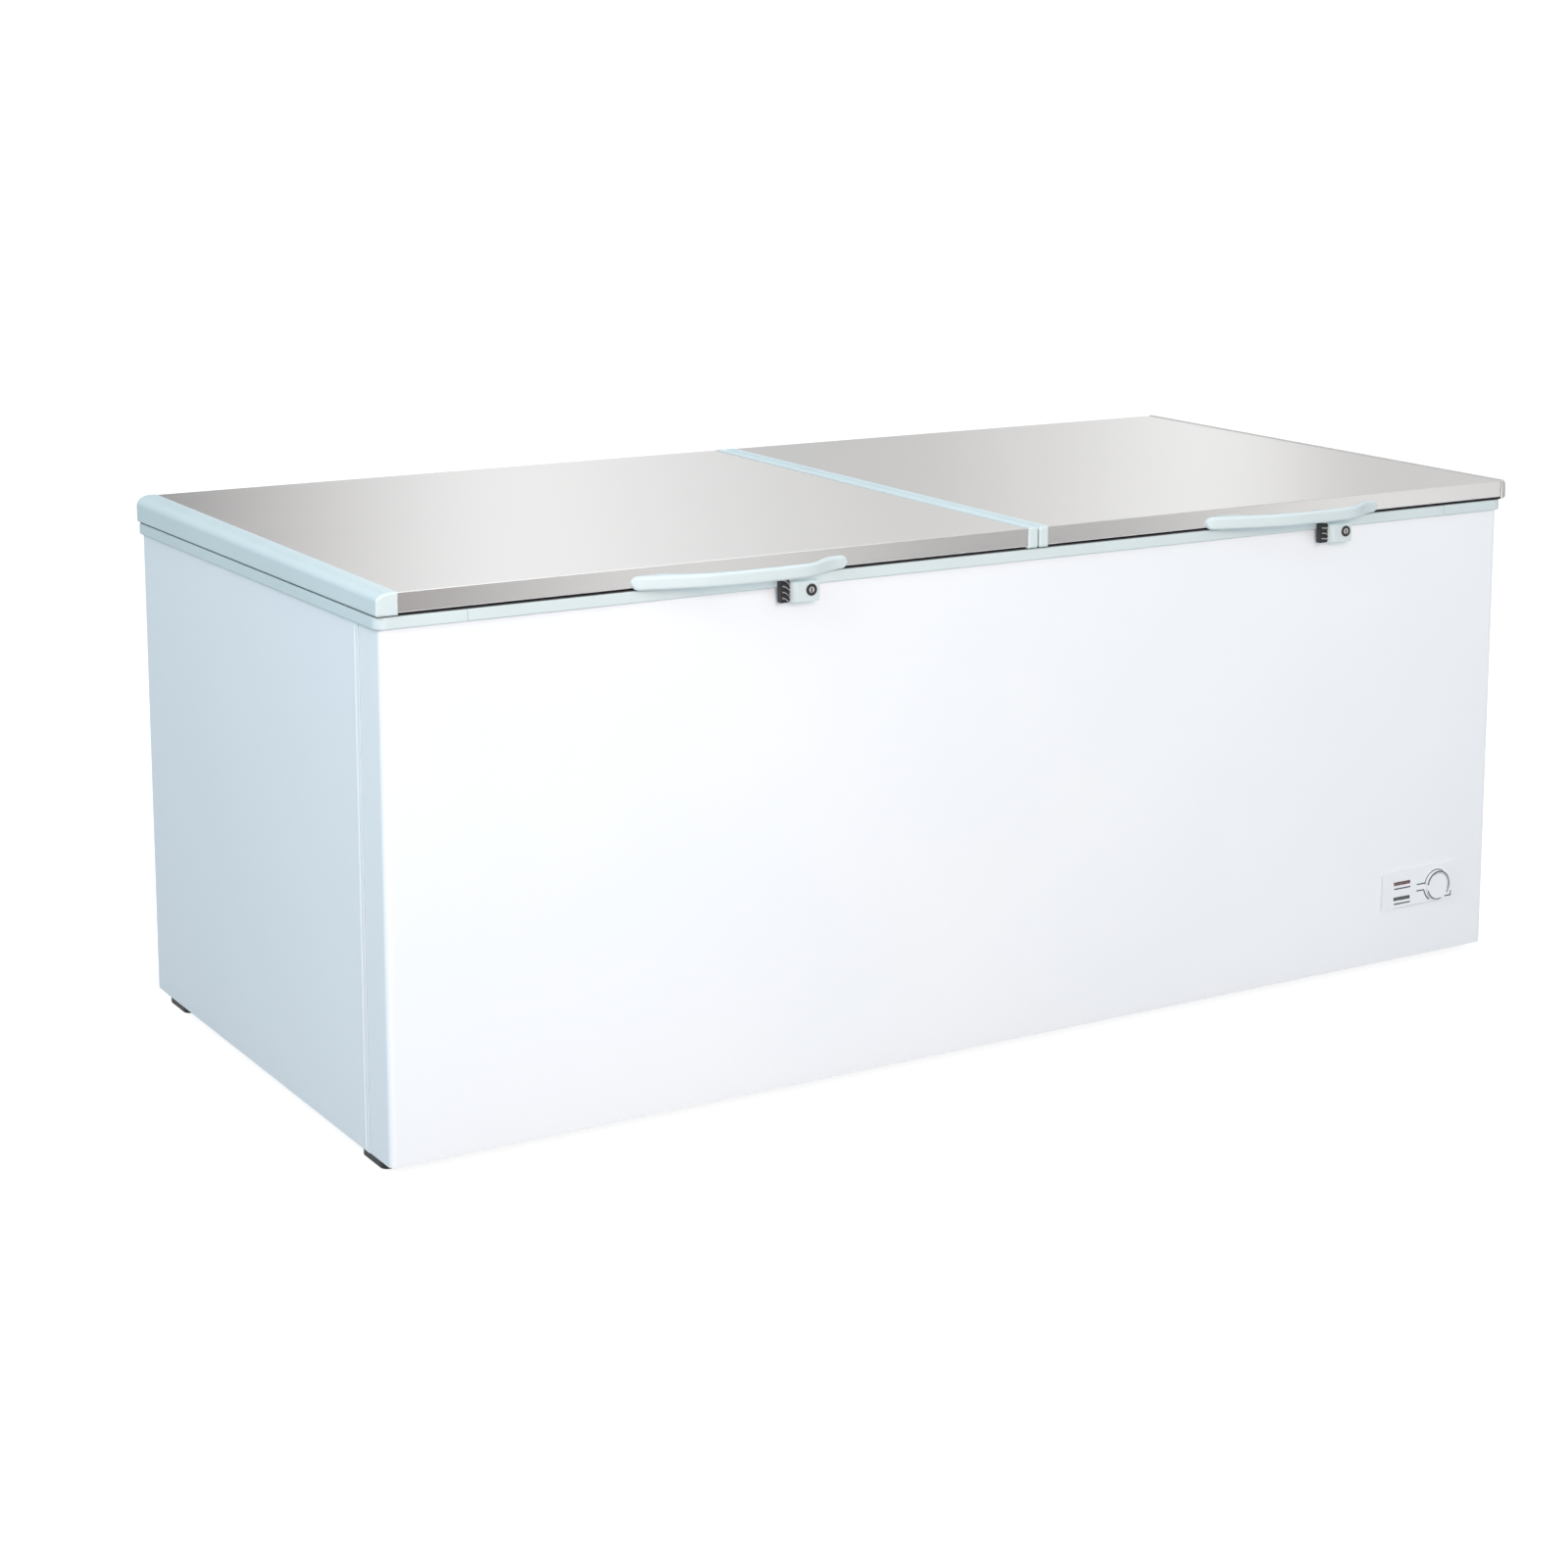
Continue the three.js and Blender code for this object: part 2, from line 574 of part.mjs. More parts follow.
// The lids are a little thicker at the rear: everything above the skirt's lower edge rises with y.
function raiseTowardsRear(solid) {
  return solid.warp((point) => {
    const above = point[2] - SKIRT_BOTTOM;
    if (above > 0) {
      const rise = LID_REAR_RISE * (point[1] - LID_FRONT) / LID_DEPTH;
      point[2] += rise * above / SKIRT_HEIGHT;
    }
  });
}

function arc([a, b], radius, startDegrees, endDegrees, steps = 4) {
  const points = [];
  for (let step = 0; step <= steps; step += 1) {
    const angle = THREE.MathUtils.degToRad(startDegrees + (endDegrees - startDegrees) * step / steps);
    points.push([a + radius * Math.cos(angle), b + radius * Math.sin(angle)]);
  }
  return points;
}

// A sheet folded down over the front and the rear of the lid
function lidSkin([x0, x1]) {
  const bendZ = LID_TOP - SKIN_BEND;
  const front = LID_FRONT + SKIN_BEND;
  const rear = LID_REAR - SKIN_BEND;
  const outline = polygon([
    [LID_REAR, SKIRT_BOTTOM],
    ...arc([rear, bendZ], SKIN_BEND, 0, 90),
    ...arc([front, bendZ], SKIN_BEND, 90, 180),
    [LID_FRONT, SKIRT_BOTTOM],
    [LID_FRONT + SKIN, SKIRT_BOTTOM],
    ...arc([front, bendZ], SKIN_BEND - SKIN, 180, 90),
    ...arc([rear, bendZ], SKIN_BEND - SKIN, 90, 0),
    [LID_REAR - SKIN, SKIRT_BOTTOM],
  ]);
  return raiseTowardsRear(alongX(outline, [x0, x1]));
}

function plugPlan([x0, x1]) {
  const clear = RIM_LIP + 2 * FIT + PLUG_CLEARANCE;
  const beamHalf = BEAM_WIDTH / 2 + PLUG_CLEARANCE;
  const left = x0 < 0 ? -TUB_SIDE + clear : LID_SPLIT + beamHalf;
  const right = x0 < 0 ? LID_SPLIT - beamHalf : TUB_SIDE - clear;
  return { x: [left, right], y: grow([TUB_FRONT, TUB_REAR], -clear) };
}

// A shallow tray: a flange all round, and a plug that drops into the opening
function lidLiner([x0, x1]) {
  const flange = box(
    [x0, x1], grow([LID_FRONT, LID_REAR], -SKIN - FIT), [SKIRT_BOTTOM, SKIRT_BOTTOM + LID_LINER]);
  const plug = plugPlan([x0, x1]);
  const outside = roundedRectangle(plug.x, plug.y, LINER_CORNER);
  const inside = roundedRectangle(
    grow(plug.x, -LID_LINER), grow(plug.y, -LID_LINER), LINER_CORNER - LID_LINER);
  const bottom = SKIRT_BOTTOM - PLUG_DEPTH;
  const drop = alongZ(outside, [bottom, SKIRT_BOTTOM + LID_LINER]);
  return flange.add(drop).subtract(alongZ(inside, [bottom + LID_LINER, SKIRT_BOTTOM + 10]));
}

function lidFoam([x0, x1]) {
  const top = LID_TOP - SKIN - FIT;
  const slab = box(
    [x0, x1], grow([LID_FRONT, LID_REAR], -SKIN - SKIN_BEND), [SKIRT_BOTTOM + LID_LINER + FIT, top]);
  const plug = plugPlan([x0, x1]);
  const inset = LID_LINER + FIT;
  const fill = alongZ(
    roundedRectangle(grow(plug.x, -inset), grow(plug.y, -inset), LINER_CORNER - inset),
    [SKIRT_BOTTOM - PLUG_DEPTH + inset, SKIRT_BOTTOM + 6]);
  return raiseTowardsRear(slab.add(fill));
}

function lidGasket([x0, x1]) {
  const z = [RIM_TOP + FIT, SKIRT_BOTTOM - FIT];
  const splitInset = BEAM_WIDTH / 2 - GASKET_WIDTH - 6;
  const left = x0 < 0 ? -LID_SIDE + GASKET_INSET : LID_SPLIT + splitInset;
  const right = x0 < 0 ? LID_SPLIT - splitInset : LID_SIDE - GASKET_INSET;
  const y = grow([LID_FRONT, LID_REAR], -GASKET_INSET);
  const outside = roundedRectangle([left, right], y, 14);
  const inside = roundedRectangle(grow([left, right], -GASKET_WIDTH), grow(y, -GASKET_WIDTH), 4);
  return alongZ(outside, z).subtract(alongZ(inside, grow(z, 1)));
}

// A moulded end cap. Its outer side is upright, its outer shoulder is round and its top is flat.
// Only a lip along its outer side and its front reaches below the skirt, clear of the gasket.
// `outer` and `inner` are the x of its outer and inner faces, and the shoulder is as wide as
// `shoulder` and as deep as `drop`.
function endCap(outer, inner, shoulder, drop, foot) {
  const sign = Math.sign(inner - outer);
  const top = LID_TOP + CAP_RISE;
  const bottom = SKIRT_BOTTOM - CAP_DROP;
  const centre = [outer + sign * shoulder, top - drop];
  const round = arc([0, 0], 1, 180, 90, 8).map(([x, z]) => [
    centre[0] + sign * shoulder * x, centre[1] + drop * z]);
  const under = arc([0, 0], foot, 270, 180, Math.ceil(foot / 2.5)).map(([x, z]) => [
    outer + sign * (foot + x), bottom + foot + z]);
  const outline = [
    ...under,
    ...round,
    [inner, top],
    [inner, bottom],
  ];
  const shape = polygon(sign > 0 ? outline.reverse() : outline);
  const block = alongY(shape, [LID_FRONT - CAP_OVERLAP, LID_REAR + 1], { bevel: 3.5 });
  const gasketRoom = box(
    [outer + sign * CAP_LIP, inner + sign].sort((a, b) => a - b),
    [LID_FRONT + CAP_LIP, LID_REAR + 5], [bottom - 1, SKIRT_BOTTOM]);
  return raiseTowardsRear(block.subtract(gasketRoom));
}

const LEFT_CAP = 34;
const INNER_CAP = 18;
const RIGHT_CAP = 11;

const LIDS = {
  left: {
    cap: [-LID_SIDE, -LID_SIDE + LEFT_CAP, 21, 12, 2.5],
    capColour: 'mintPlastic',
    innerCap: [LID_SPLIT - LID_GAP / 2, LID_SPLIT - LID_GAP / 2 - INNER_CAP, 6, 6, 2.5],
    span: [-LID_SIDE + LEFT_CAP + FIT, LID_SPLIT - LID_GAP / 2 - INNER_CAP - FIT],
    handleX: -664,
    lockX: -416,
    hingeX: [-820, -180],
  },
  right: {
    cap: [LID_SIDE, LID_SIDE - RIGHT_CAP, 7, 13, 5.5],
    capColour: 'brushedSteel',
    innerCap: [LID_SPLIT + LID_GAP / 2, LID_SPLIT + LID_GAP / 2 + INNER_CAP, 6, 6, 2.5],
    span: [LID_SPLIT + LID_GAP / 2 + INNER_CAP + FIT, LID_SIDE - RIGHT_CAP - FIT],
    handleX: 392,
    lockX: 632,
    hingeX: [270, 870],
  },
};

// ---------------------------------------------------------------- handles and locks

const HANDLE_LENGTH = 366;
const HANDLE_Z = [SKIRT_BOTTOM - 2.5, SKIRT_BOTTOM + 18];

// Waypoints of the handle's front and back faces, as (share of the length, reach out from the lid).
// The curve swells a little past its two equal middle waypoints, up to the handle's full reach.
const HANDLE_FULL = HANDLE_REACH - 0.6;
const HANDLE_FACE = [
  [0.005, 10], [0.026, 16], [0.085, 22], [0.21, 35], [0.33, HANDLE_FULL - 4], [0.46, HANDLE_FULL],
  [0.62, HANDLE_FULL], [0.77, HANDLE_FULL - 2.5], [0.83, 38], [0.885, 22], [0.93, 14], [0.98, 10.5],
  [0.997, 6],
];
const HANDLE_BACK = [
  [0.92, 2.5], [0.88, 8], [0.83, 24], [0.77, 35], [0.62, 38], [0.46, 37], [0.33, 32], [0.225, 20],
  [0.155, 6],
];

// A wavy grip bar: it leaves the lid gently at its left end and returns sharply at its right end.
function handle(startX) {
  const place = ([share, out]) => new THREE.Vector2(startX + share * HANDLE_LENGTH, LID_FRONT - FIT - out);
  const face = new THREE.SplineCurve(HANDLE_FACE.map(place)).getPoints(30);
  const back = new THREE.SplineCurve(HANDLE_BACK.map(place)).getPoints(22);
  const leftRoot = [place([0.115, 0]), place([0, 0]), place([0, 6])];
  const rightRoot = [place([1, 0]), place([0.94, 0])];
  const outline = [...leftRoot, ...face, ...rightRoot, ...back];
  return alongZ(new THREE.Shape(outline), HANDLE_Z, { bevel: 2.2 });
}

const STRIKE_WIDTH = 15;
const HOUSING_WIDTH = 50;
const HOUSING_DEPTH = 16;
const HOUSING_CORNER = 5;
const HOUSING_Z = [RIM_BOTTOM - 22, RIM_BOTTOM + 9];
const LOCK_Z = (HOUSING_Z[0] + HOUSING_Z[1]) / 2 + 2.5;
const CYLINDER_RADIUS = 8;
const BOLT_SIZE = 7;
const BOLT_TRAVEL = 8;
const BOLT_Y = [LID_FRONT - 6.5, LID_FRONT - 0.5];

function lockStations(lid) {
  const housingLeft = lid.lockX + STRIKE_WIDTH + 2 * FIT;
  return { strikeLeft: lid.lockX, housingLeft, cylinderX: housingLeft + HOUSING_WIDTH - 16 };
}

// A ribbed tongue on the lid's front skirt, with a pocket in its right side for the bolt
function lockStrike({ strikeLeft }) {
  const x = [strikeLeft, strikeLeft + STRIKE_WIDTH];
  const blade = box(x, [LID_FRONT - 10, LID_FRONT - FIT], [HOUSING_Z[0] + 1, SKIRT_BOTTOM + 4]);
  const ribs = [];
  for (let z = HOUSING_Z[0] + 4; z < HOUSING_Z[1]; z += 6) {
    ribs.push(box(x, [LID_FRONT - 12, LID_FRONT - 9], [z, z + 3]));
  }
  const pocket = box(
    [x[1] - BOLT_TRAVEL - 1, x[1] + 1], [BOLT_Y[0] - 0.5, LID_FRONT + 1],
    grow(around([LOCK_Z, BOLT_SIZE]), 0.6));
  return join([blade, ...ribs]).subtract(pocket);
}

// A moulded case on the rim with a bevelled left edge, bored for the cylinder and the bolt
function lockHousing({ housingLeft, cylinderX }) {
  const right = housingLeft + HOUSING_WIDTH;
  const face = LID_FRONT - HOUSING_DEPTH;
  const plan = polygon([
    [housingLeft, LID_FRONT + RIM_INSET - FIT],
    [housingLeft, face + 10],
    [housingLeft + 8, face + 1.5],
    [housingLeft + 12, face],
    [right - 3, face],
    [right, face + 3],
    [right, LID_FRONT + RIM_INSET - FIT],
  ]);
  const faceOutline = roundedRectangle([housingLeft, right], HOUSING_Z, HOUSING_CORNER);
  const shell = alongZ(plan, HOUSING_Z, { bevel: 1.2 })
    .intersect(alongY(faceOutline, [face - 1, CABINET_FRONT]));
  const heel = box(
    [housingLeft + 3, right - 2], [LID_FRONT, CABINET_FRONT - FIT],
    [HOUSING_Z[0] + 2, RIM_BOTTOM - 2 * FIT]);
  const bore = cylinder('y', CYLINDER_RADIUS + 0.4, [face - 5, BOLT_Y[0] - 0.4], [cylinderX, LOCK_Z], 32);
  const boltWay = box(
    [housingLeft - 5, cylinderX + 6], [BOLT_Y[0] - 0.5, BOLT_Y[1] + 0.5],
    grow(around([LOCK_Z, BOLT_SIZE]), 0.6));
  return shell.add(heel).subtract(bore).subtract(boltWay);
}

function lockCylinder({ cylinderX }) {
  const face = LID_FRONT - HOUSING_DEPTH;
  const barrel = cylinder('y', CYLINDER_RADIUS, [face - 1.2, BOLT_Y[0] - 0.9], [cylinderX, LOCK_Z], 32);
  const keyway = box(
    [cylinderX - 0.9, cylinderX + 0.9], [face - 3, face + 4], [LOCK_Z - 4, LOCK_Z + 3]);
  return barrel.subtract(keyway);
}

function lockBolt({ housingLeft, cylinderX }) {
  return box([housingLeft + 1, cylinderX + 1], BOLT_Y, around([LOCK_Z, BOLT_SIZE]));
}

// ---------------------------------------------------------------- hinges

const HINGE_Y = LID_REAR + HINGE_OFFSET;
const HINGE_Z = SKIRT_BOTTOM;
const PIN_RADIUS = 3.5;
const BARREL_HALF = 20;
const EAR = 4;
const EAR_IN = BARREL_HALF + 1;

// A rear bracket that steps out past the rim and carries the riveted hinge pin between two ears
function hingeBracket(x) {
  const y0 = CABINET_REAR + FIT;
  const shelfZ = [RIM_BOTTOM - 6, RIM_BOTTOM - 2];
  const backPlate = box(grow([x, x], 34), [y0, y0 + 3], [shelfZ[0] - 90, shelfZ[1]]);
  const shelf = box(grow([x, x], 34), [y0, HINGE_Y + HINGE_RADIUS], shelfZ);
  const ears = [x - EAR_IN - EAR, x + EAR_IN].map((left) => box(
    [left, left + EAR], [HINGE_Y - HINGE_RADIUS, HINGE_Y + HINGE_RADIUS], [shelfZ[0], HINGE_Z]));
  const eyes = [x - EAR_IN - EAR, x + EAR_IN].map((left) => cylinder(
    'x', HINGE_RADIUS, [left, left + EAR], [HINGE_Y, HINGE_Z], 16));
  const pin = cylinder('x', PIN_RADIUS, grow([x, x], EAR_IN + EAR + 2), [HINGE_Y, HINGE_Z], 16);
  return join([backPlate, shelf, ...ears, ...eyes, pin]);
}

// The moving half: a plate on the lid's rear skirt and a barrel that turns on the pin
function hingeArm(x) {
  const y0 = LID_REAR + 1 + FIT;
  const half = BARREL_HALF;
  const plate = box(grow([x, x], half + 14), [y0, y0 + 3], [HINGE_Z + 9, HINGE_Z + 34]);
  const web = box(grow([x, x], half), [y0, HINGE_Y - PIN_RADIUS - 1], [HINGE_Z - 1, HINGE_Z + 12]);
  const barrel = cylinder('x', HINGE_RADIUS, grow([x, x], half), [HINGE_Y, HINGE_Z], 24);
  const bore = cylinder('x', PIN_RADIUS + 0.4, grow([x, x], half + 5), [HINGE_Y, HINGE_Z], 20);
  return join([plate, web, barrel]).subtract(bore);
}

// ---------------------------------------------------------------- assembly

function buildCabinet() {
  addPart('front_panel', 'whitePaint', frontPanel());
  addPart('left_side_panel', 'whitePaint', sidePanel(-1));
  addPart('right_side_panel', 'whitePaint', cut(sidePanel(1), airSlots()));
  addPart('rear_panel', 'whitePaint', rearPanel());
  addPart('base_pan', 'blackPaint', basePan());
  addPart('front_left_foot', 'blackPlastic', foot(-1, -1));
  addPart('front_right_foot', 'blackPlastic', foot(1, -1));
  addPart('rear_left_foot', 'blackPlastic', foot(-1, 1));
  addPart('rear_right_foot', 'blackPlastic', foot(1, 1));
  addPart('foam_floor', 'foam', foamFloor());
  addPart('foam_front_wall', 'foam', foamLongWall([FOAM_FRONT, FOAM_TUB_FRONT]));
  addPart('foam_rear_wall', 'foam', foamLongWall([FOAM_TUB_REAR, FOAM_REAR]));
  addPart('foam_left_wall', 'foam', foamLeftWall());
  addPart('foam_right_end', 'foam', foamRightEnd());
  addPart('inner_liner', 'aluminium', innerLiner());
  addPart('evaporator_coil', 'aluminium', evaporatorCoil());
  addPart('centre_beam', 'mintPlastic', centreBeam());
  for (const [name, solid] of Object.entries(rimPieces())) {
    addPart(name, 'mintPlastic', solid);
  }
}

function buildMachine() {
  addPart('compressor', 'blackPaint', compressor());
  addPart('condenser', 'aluminium', condenser());
  addPart('fan_motor', 'zincSteel', fanMotor());
  addPart('fan_blade', 'blackPlastic', fanBlade());
  addPart('power_inlet', 'blackPlastic', powerInlet());
}

function buildControls() {
  addPart('control_plate', 'whitePlastic', controlPlate());
  addPart('thermostat_knob', 'whitePlastic', thermostatKnob());
  addPart('upper_lamp', 'redLens', lamp(LAMP_Z[0]));
  addPart('lower_lamp', 'greenLens', lamp(LAMP_Z[1]));
}

function buildLid(side, lid) {
  addPart(`${side}_lid_skin`, 'brushedSteel', lidSkin(lid.span));
  addPart(`${side}_lid_foam`, 'foam', lidFoam(lid.span));
  addPart(`${side}_lid_liner`, 'whitePlastic', lidLiner(lid.span));
  addPart(`${side}_lid_gasket`, 'rubber', lidGasket(lid.span));
  addPart(`${side}_lid_outer_cap`, lid.capColour, endCap(...lid.cap));
  addPart(`${side}_lid_inner_cap`, 'mintPlastic', endCap(...lid.innerCap));
  addPart(`${side}_handle`, 'mintPlastic', handle(lid.handleX));
  const stations = lockStations(lid);
  addPart(`${side}_lock_strike`, 'blackPlastic', lockStrike(stations));
  addPart(`${side}_lock_housing`, 'mintPlastic', lockHousing(stations));
  addPart(`${side}_lock_cylinder`, 'chrome', lockCylinder(stations));
  addPart(`${side}_lock_bolt`, 'zincSteel', lockBolt(stations));
  lid.hingeX.forEach((x, index) => {
    addPart(`${side}_hinge_bracket_${index + 1}`, 'zincSteel', hingeBracket(x));
    addPart(`${side}_hinge_arm_${index + 1}`, 'zincSteel', hingeArm(x));
  });
}

buildCabinet();
buildMachine();
buildControls();
for (const [side, lid] of Object.entries(LIDS)) {
  buildLid(side, lid);
}

export default freezer;
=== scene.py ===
"""A two-lid chest freezer in a plain studio: camera, light, materials and the finer visible pieces.

Metres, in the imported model's frame: +X to the right of someone facing the freezer, front towards -Y.
"""
import json
import math

import bmesh
import bpy
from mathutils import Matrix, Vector


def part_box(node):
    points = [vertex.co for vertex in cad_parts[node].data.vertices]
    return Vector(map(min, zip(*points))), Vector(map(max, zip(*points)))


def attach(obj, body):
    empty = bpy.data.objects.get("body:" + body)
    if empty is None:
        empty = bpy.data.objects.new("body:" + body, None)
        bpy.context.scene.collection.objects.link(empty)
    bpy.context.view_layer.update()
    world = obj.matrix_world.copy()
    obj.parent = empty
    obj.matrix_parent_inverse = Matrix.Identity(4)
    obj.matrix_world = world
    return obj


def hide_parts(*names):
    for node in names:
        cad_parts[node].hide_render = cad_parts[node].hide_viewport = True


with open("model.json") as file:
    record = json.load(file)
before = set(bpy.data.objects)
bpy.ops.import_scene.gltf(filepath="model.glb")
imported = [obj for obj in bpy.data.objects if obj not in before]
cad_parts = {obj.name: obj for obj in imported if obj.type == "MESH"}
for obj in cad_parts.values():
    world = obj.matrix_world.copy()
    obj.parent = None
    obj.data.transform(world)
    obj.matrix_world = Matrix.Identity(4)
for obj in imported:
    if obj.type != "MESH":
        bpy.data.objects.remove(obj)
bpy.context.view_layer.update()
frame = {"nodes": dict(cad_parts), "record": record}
NODES = frame["nodes"]
SIDES = ("left", "right")
MM = 0.001


# ---------------------------------------------------------------- camera

CAMERA_PLACE = Vector((-2.644, -4.174, 1.581))
CAMERA_AZIMUTH = math.radians(31.2)
CAMERA_DIP = math.radians(9.0)
CAMERA_LENS = 67.9
CAMERA_SHIFT = -0.169


def make_camera():
    camera = bpy.data.objects.new("camera", bpy.data.cameras.new("camera"))
    camera.data.lens = CAMERA_LENS
    camera.data.sensor_width = 36
    camera.data.shift_y = CAMERA_SHIFT
    camera.location = CAMERA_PLACE
    camera.rotation_euler = (math.pi / 2 - CAMERA_DIP, 0, -CAMERA_AZIMUTH)
    bpy.context.scene.collection.objects.link(camera)
    bpy.context.scene.camera = camera


# ---------------------------------------------------------------- node helpers

class NodeTree:
    """A node tree, with short calls to add nodes and to link or set their sockets."""

    def __init__(self, tree):
        self.tree = tree

    def add(self, kind, **settings):
        node = self.tree.nodes.new(kind)
        for key, value in settings.items():
            setattr(node, key, value)
        return node

    def link(self, source, target):
        self.tree.links.new(source, target)

    def feed(self, socket, value):
        """Sets a socket to a number or a colour, or links it to another node's output."""
        if isinstance(value, (int, float)):
            socket.default_value = value
        elif isinstance(value, tuple):
            socket.default_value = (*value, 1)
        else:
            self.link(value, socket)


class Shader(NodeTree):
    """A material, with short calls for the nodes used here."""

    def __init__(self, name):
        self.material = bpy.data.materials.new(name)
        self.material.use_nodes = True
        super().__init__(self.material.node_tree)
        self.bsdf = self.tree.nodes["Principled BSDF"]
        self.place = self.add("ShaderNodeTexCoord").outputs["Object"]

    def stretched(self, scale):
        mapping = self.add("ShaderNodeMapping")
        mapping.inputs["Scale"].default_value = scale
        self.link(self.place, mapping.inputs["Vector"])
        return mapping.outputs["Vector"]

    def noise(self, scale, detail=3.0, place=None, seed=0.0):
        node = self.add("ShaderNodeTexNoise", noise_dimensions="4D")
        node.inputs["Scale"].default_value = scale
        node.inputs["Detail"].default_value = detail
        node.inputs["W"].default_value = seed
        self.link(place or self.place, node.inputs["Vector"])
        return node.outputs["Fac"]

    def span(self, value, low, high, start=0.3, end=0.7):
        node = self.add("ShaderNodeMapRange")
        node.inputs["From Min"].default_value = start
        node.inputs["From Max"].default_value = end
        node.inputs["To Min"].default_value = low
        node.inputs["To Max"].default_value = high
        self.link(value, node.inputs["Value"])
        return node.outputs["Result"]

    def math(self, operation, first, second):
        node = self.add("ShaderNodeMath", operation=operation)
        self.feed(node.inputs[0], first)
        self.feed(node.inputs[1], second)
        return node.outputs[0]

    def blend_colour(self, factor, first, second):
        node = self.add("ShaderNodeMix", data_type="RGBA")
        self.link(factor, node.inputs["Factor"])
        self.feed(node.inputs[6], first)
        self.feed(node.inputs[7], second)
        return node.outputs[2]

    def bump(self, height, depth, strength=1.0, under=None):
        node = self.add("ShaderNodeBump")
        node.inputs["Distance"].default_value = depth
        node.inputs["Strength"].default_value = strength
        self.link(height, node.inputs["Height"])
        if under:
            self.link(under, node.inputs["Normal"])
        return node.outputs["Normal"]

    def set(self, **values):
        for key, value in values.items():
            self.feed(self.bsdf.inputs[key.replace("_", " ")], value)
        return self.material


# ---------------------------------------------------------------- materials

def white_paint():
    s = Shader("white_paint")
    haze = s.span(s.noise(2.2, 2), 0, 1)
    colour = s.blend_colour(haze, (0.86, 0.885, 0.905), (0.89, 0.905, 0.92))
    peel = s.bump(s.noise(420, 2, seed=1.0), 0.00004, 0.5)
    waves = s.bump(s.noise(3.5, 1, seed=2.0), 0.0008, 0.35, under=peel)
    gloss = s.span(s.noise(14, 4, seed=3.0), 0.3, 0.38)
    return s.set(Base_Color=colour, Roughness=gloss, Normal=waves, Coat_Weight=0.25, Coat_Roughness=0.12)


def moulded_plastic(name, dark, light, rough=(0.32, 0.42), grain=0.00003):
    s = Shader(name)
    flow = s.span(s.noise(9, 3), 0, 1)
    colour = s.blend_colour(flow, dark, light)
    texture = s.bump(s.noise(1900, 2, seed=4.0), grain, 0.6)
    gloss = s.span(s.noise(60, 3, seed=5.0), *rough)
    return s.set(Base_Color=colour, Roughness=gloss, Normal=texture)


# The way across the sheet along which the steel's painted shade lightens.
PAINTED_SHADE_WAY = (0.84, -0.55, 0.0)


def brushed_steel(name="brushed_steel", shade=(1.0, 1.0)):
    """Steel brushed along X. `shade` dims the sheet from its rear left to its front right corner: painted
    shade, standing in for a reflection that is darker towards the rear left.
    """
    s = Shader(name)
    streaks = s.noise(1.0, 3, place=s.stretched((0.8, 900, 900)), seed=6.0)
    broad = s.noise(1.0, 2, place=s.stretched((0.5, 30, 30)), seed=7.0)
    tone = s.math("ADD", s.math("MULTIPLY", streaks, 0.5), s.math("MULTIPLY", broad, 0.5))
    colour = s.blend_colour(s.span(tone, 0, 1), (0.770, 0.762, 0.757), (0.785, 0.777, 0.772))
    # Painted shade: the colour is scaled down towards the sheet's rear left.
    across = s.add("ShaderNodeVectorMath", operation="DOT_PRODUCT")
    across.inputs[1].default_value = PAINTED_SHADE_WAY
    s.link(s.place, across.inputs[0])
    painted_dim = s.span(across.outputs["Value"], *shade, -0.2, 0.3)
    scaled = s.add("ShaderNodeVectorMath", operation="SCALE")
    s.link(colour, scaled.inputs[0])
    s.link(painted_dim, scaled.inputs["Scale"])
    scratch = s.bump(streaks, 0.000004, 0.12)
    tangent = s.add("ShaderNodeTangent", direction_type="UV_MAP", uv_map="grain")
    return s.set(Base_Color=scaled.outputs[0], Metallic=1.0, Roughness=s.span(tone, 0.255, 0.27),
                 Normal=scratch, Anisotropic=0.6, Anisotropic_Rotation=0.25, Tangent=tangent.outputs[0])


def plain_metal(name, dark, light, rough, grain=1200):
    s = Shader(name)
    colour = s.blend_colour(s.span(s.noise(35, 4), 0, 1), dark, light)
    gloss = s.span(s.noise(80, 3, seed=8.0), *rough)
    texture = s.bump(s.noise(grain, 2, seed=9.0), 0.00001, 0.5)
    return s.set(Base_Color=colour, Metallic=1.0, Roughness=gloss, Normal=texture)


def embossed_aluminium():
    s = Shader("embossed_aluminium")
    pebbles = s.add("ShaderNodeTexVoronoi", feature="SMOOTH_F1")
    pebbles.inputs["Scale"].default_value = 170
    s.link(s.place, pebbles.inputs["Vector"])
    colour = s.blend_colour(s.span(s.noise(9, 4), 0, 1), (0.70, 0.715, 0.725), (0.78, 0.79, 0.80))
    emboss = s.bump(pebbles.outputs["Distance"], 0.0006, 0.8)
    gloss = s.span(s.noise(40, 3), 0.3, 0.4)
    return s.set(Base_Color=colour, Metallic=0.9, Roughness=gloss, Normal=emboss)


def satin_paint():
    s = Shader("black_paint")
    colour = s.blend_colour(s.span(s.noise(30, 4), 0, 1), (0.012, 0.012, 0.014), (0.03, 0.03, 0.032))
    texture = s.bump(s.noise(500, 3, seed=10.0), 0.00006, 0.6)
    return s.set(Base_Color=colour, Roughness=s.span(s.noise(25, 3), 0.35, 0.5), Normal=texture)


def foam():
    s = Shader("foam")
    cells = s.noise(600, 4)
    colour = s.blend_colour(s.span(s.noise(12, 4), 0, 1), (0.70, 0.58, 0.30), (0.80, 0.70, 0.42))
    return s.set(Base_Color=colour, Roughness=0.95, Normal=s.bump(cells, 0.0005, 0.8))


